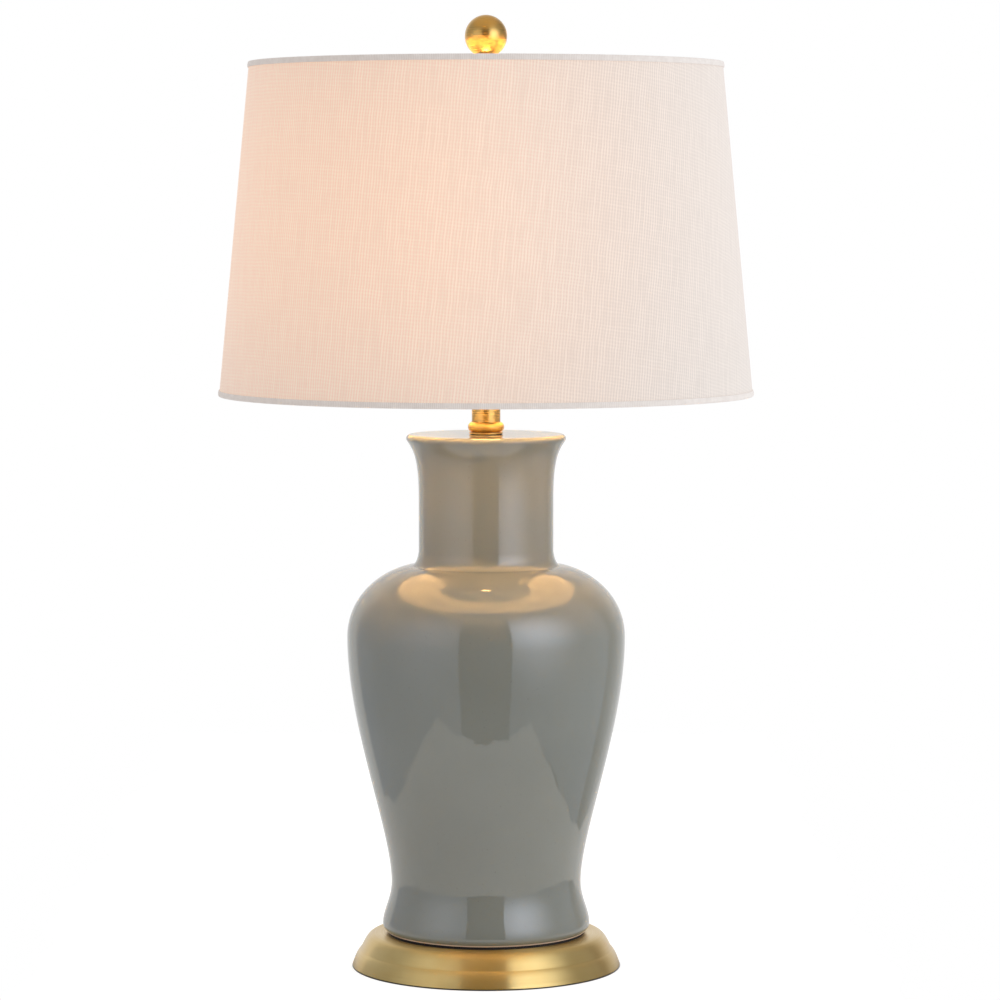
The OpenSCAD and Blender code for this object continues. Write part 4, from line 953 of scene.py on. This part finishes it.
# Painted shadow of the lamp on the sheet, seen only in mirrors: darker near the foot.
mirrored_shadow_range = {0: out, 1: MIRRORED_SHADOW_IN, 2: MIRRORED_SHADOW_OUT, 3: -0.9, 4: -0.32}
mirrored_shadow = add(tree, "MapRange", mirrored_shadow_range, interpolation_type="SMOOTHSTEP")[0]
mirror_share = add(tree, "Math", {0: rays["Is Glossy Ray"], 1: mirrored_shadow, 2: 1.0}, operation="MULTIPLY_ADD")[0]
level = add(tree, "Math", {0: level, 1: mirror_share}, operation="MULTIPLY")[0]
seen_white = add(tree, "Emission", {"Color": (1, 1, 1, 1), "Strength": level})
seen = add(tree, "AddShader", {0: seen_pale[0], 1: seen_white[0]})
either = add(tree, "MixShader", {0: looked_at, 1: pale[0], 2: seen[0]})
add(tree, "OutputMaterial", {"Surface": either[0]})
border = torn_sheet(*SHEET)
staged("studio_floor", border, [tuple(range(len(border)))], paper)
print("the sheet is torn at", len(border), "points")

# %% [markdown]
# ## The walls
#
# The background is white and reaches further round at the left, the ceiling is pale and warm, and what lies
# behind the camera is dark with a warm tint. The world gives each kind of ray its own part of that: the
# camera sees white, mirrors see all of it, and matt surfaces get a soft light that is strongest from the
# right, with some more from the far left. Directions are compared with dot products, which are 1 where they
# agree and 0 where they are square.

# %% Light the room
FROM_LEFT, FROM_RIGHT, FROM_FAR_LEFT = 0.28, 1.24, 0.6
TOWARD_BACK, TOWARD_FAR_LEFT = (-0.25, 1.0, 0.0), (-0.85, 0.53, 0.0)
DARK_WALL, WHITE_WALL = (0.105, 0.078, 0.056, 1), (0.85, 0.85, 0.85, 1)
CEILING = (0.72, 0.61, 0.48, 1)

world = bpy.data.worlds.new("studio")
bpy.context.scene.world = world
world.use_nodes = True
world.node_tree.nodes.clear()
tree = world.node_tree
rays = add(tree, "LightPath")
toward = add(tree, "TexCoord")["Generated"]
part = add(tree, "SeparateXYZ", {0: toward})
back = add(tree, "VectorMath", {0: toward, 1: TOWARD_BACK}, operation="DOT_PRODUCT")[1]
share = add(tree, "MapRange", {0: back, 1: 0.15, 2: 0.95}, interpolation_type="SMOOTHSTEP")[0]
walls = add(tree, "Mix", {0: share, 6: DARK_WALL, 7: WHITE_WALL}, data_type="RGBA")[2]
high = add(tree, "MapRange", {0: part[2], 1: 0.38, 2: 0.85}, interpolation_type="SMOOTHSTEP")[0]
mirrored = add(tree, "Mix", {0: high, 6: walls, 7: CEILING}, data_type="RGBA")[2]
side = add(tree, "MapRange", {0: part[0], 1: -1.0, 2: 1.0, 3: FROM_LEFT, 4: FROM_RIGHT})[0]
beside = add(tree, "VectorMath", {0: toward, 1: TOWARD_FAR_LEFT}, operation="DOT_PRODUCT")[1]
rise = {0: beside, 1: 0.3, 2: 1.0, 3: 0.0, 4: FROM_FAR_LEFT}
rim = add(tree, "MapRange", rise, interpolation_type="SMOOTHSTEP")[0]
soft = add(tree, "Math", {0: side, 1: rim}, operation="ADD")[0]
lit = add(tree, "Mix", {0: rays["Is Glossy Ray"], 6: soft, 7: mirrored}, data_type="RGBA")[2]
plain = add(tree, "Math", {0: rays["Is Camera Ray"], 1: rays["Is Transmission Ray"]}, operation="MAXIMUM")[0]
shown = add(tree, "Mix", {0: plain, 6: lit, 7: (1, 1, 1, 1)}, data_type="RGBA")[2]
sky = add(tree, "Background", {"Color": shown, "Strength": 1.0})
add(tree, "OutputWorld", {"Surface": sky[0]})
print("the room's light goes from", FROM_LEFT, "at the left to", FROM_RIGHT, "at the right")

# %% [markdown]
# ## Soft lights
#
# Two tall sheets of diffusing cloth curve round the lamp at 1.9 m, a bright one on the right and a weaker
# one on the left, which leave 43 degrees at the front open: there the glaze mirrors the dark room as an
# upright band. An even glow would draw a hard bright window on the glaze. Real cloth is brightest where its
# lamp is, so each glow falls off from a centre. Only mirrors see the sheets, as the room's soft light
# already stands for their light on matt surfaces.

# %% Two soft lights
AWAY = 1.9
COLUMNS = 33


def soft_light(name, start, end, low, high, centre, reach, strongest, weakest):
    """A curved sheet from one angle to another, in degrees from the front to the right, and between two
    heights. Its glow falls smoothly from strongest at its centre (angle, height) to weakest at a reach in
    metres."""
    angle = np.radians(np.linspace(start, end, COLUMNS))
    rim = AWAY * np.column_stack([np.sin(angle), -np.cos(angle)])
    points = np.vstack([np.column_stack([rim, np.full(COLUMNS, height)]) for height in (low, high)])
    faces = [(i, i + COLUMNS, i + COLUMNS + 1, i + 1) for i in range(COLUMNS - 1)]
    turn = math.radians(centre[0])
    hot = (AWAY * math.sin(turn), -AWAY * math.cos(turn), centre[1])
    made, tree = recipe(name + "_cloth")
    place = add(tree, "TexCoord")["Object"]
    away = add(tree, "VectorMath", {0: place, 1: hot}, operation="DISTANCE")[1]
    falls = {0: away, 1: 0.0, 2: reach, 3: strongest, 4: weakest}
    glow = add(tree, "MapRange", falls, interpolation_type="SMOOTHSTEP")
    light = add(tree, "Emission", {"Color": colour("#E6EEFF"), "Strength": glow[0]})
    add(tree, "OutputMaterial", {"Surface": light[0]})
    staged(name, points, faces, made, camera=False, diffuse=False, shadow=False, transmission=False)
    print(name, "covers", end - start, "degrees and is %.2f m high" % (high - low))


soft_light("right_light", 21, 120, -0.9, 2.6, (43, 0.98), 1.6, 3.65, 0.5)
soft_light("left_light", -132, -22, -0.9, 2.25, (-50, 0.8), 1.6, 1.3, 0.55)

# %% [markdown]
# ## Finish
#
# The view layer is brought up to date at the end.

# %% Finish
bpy.context.view_layer.update()
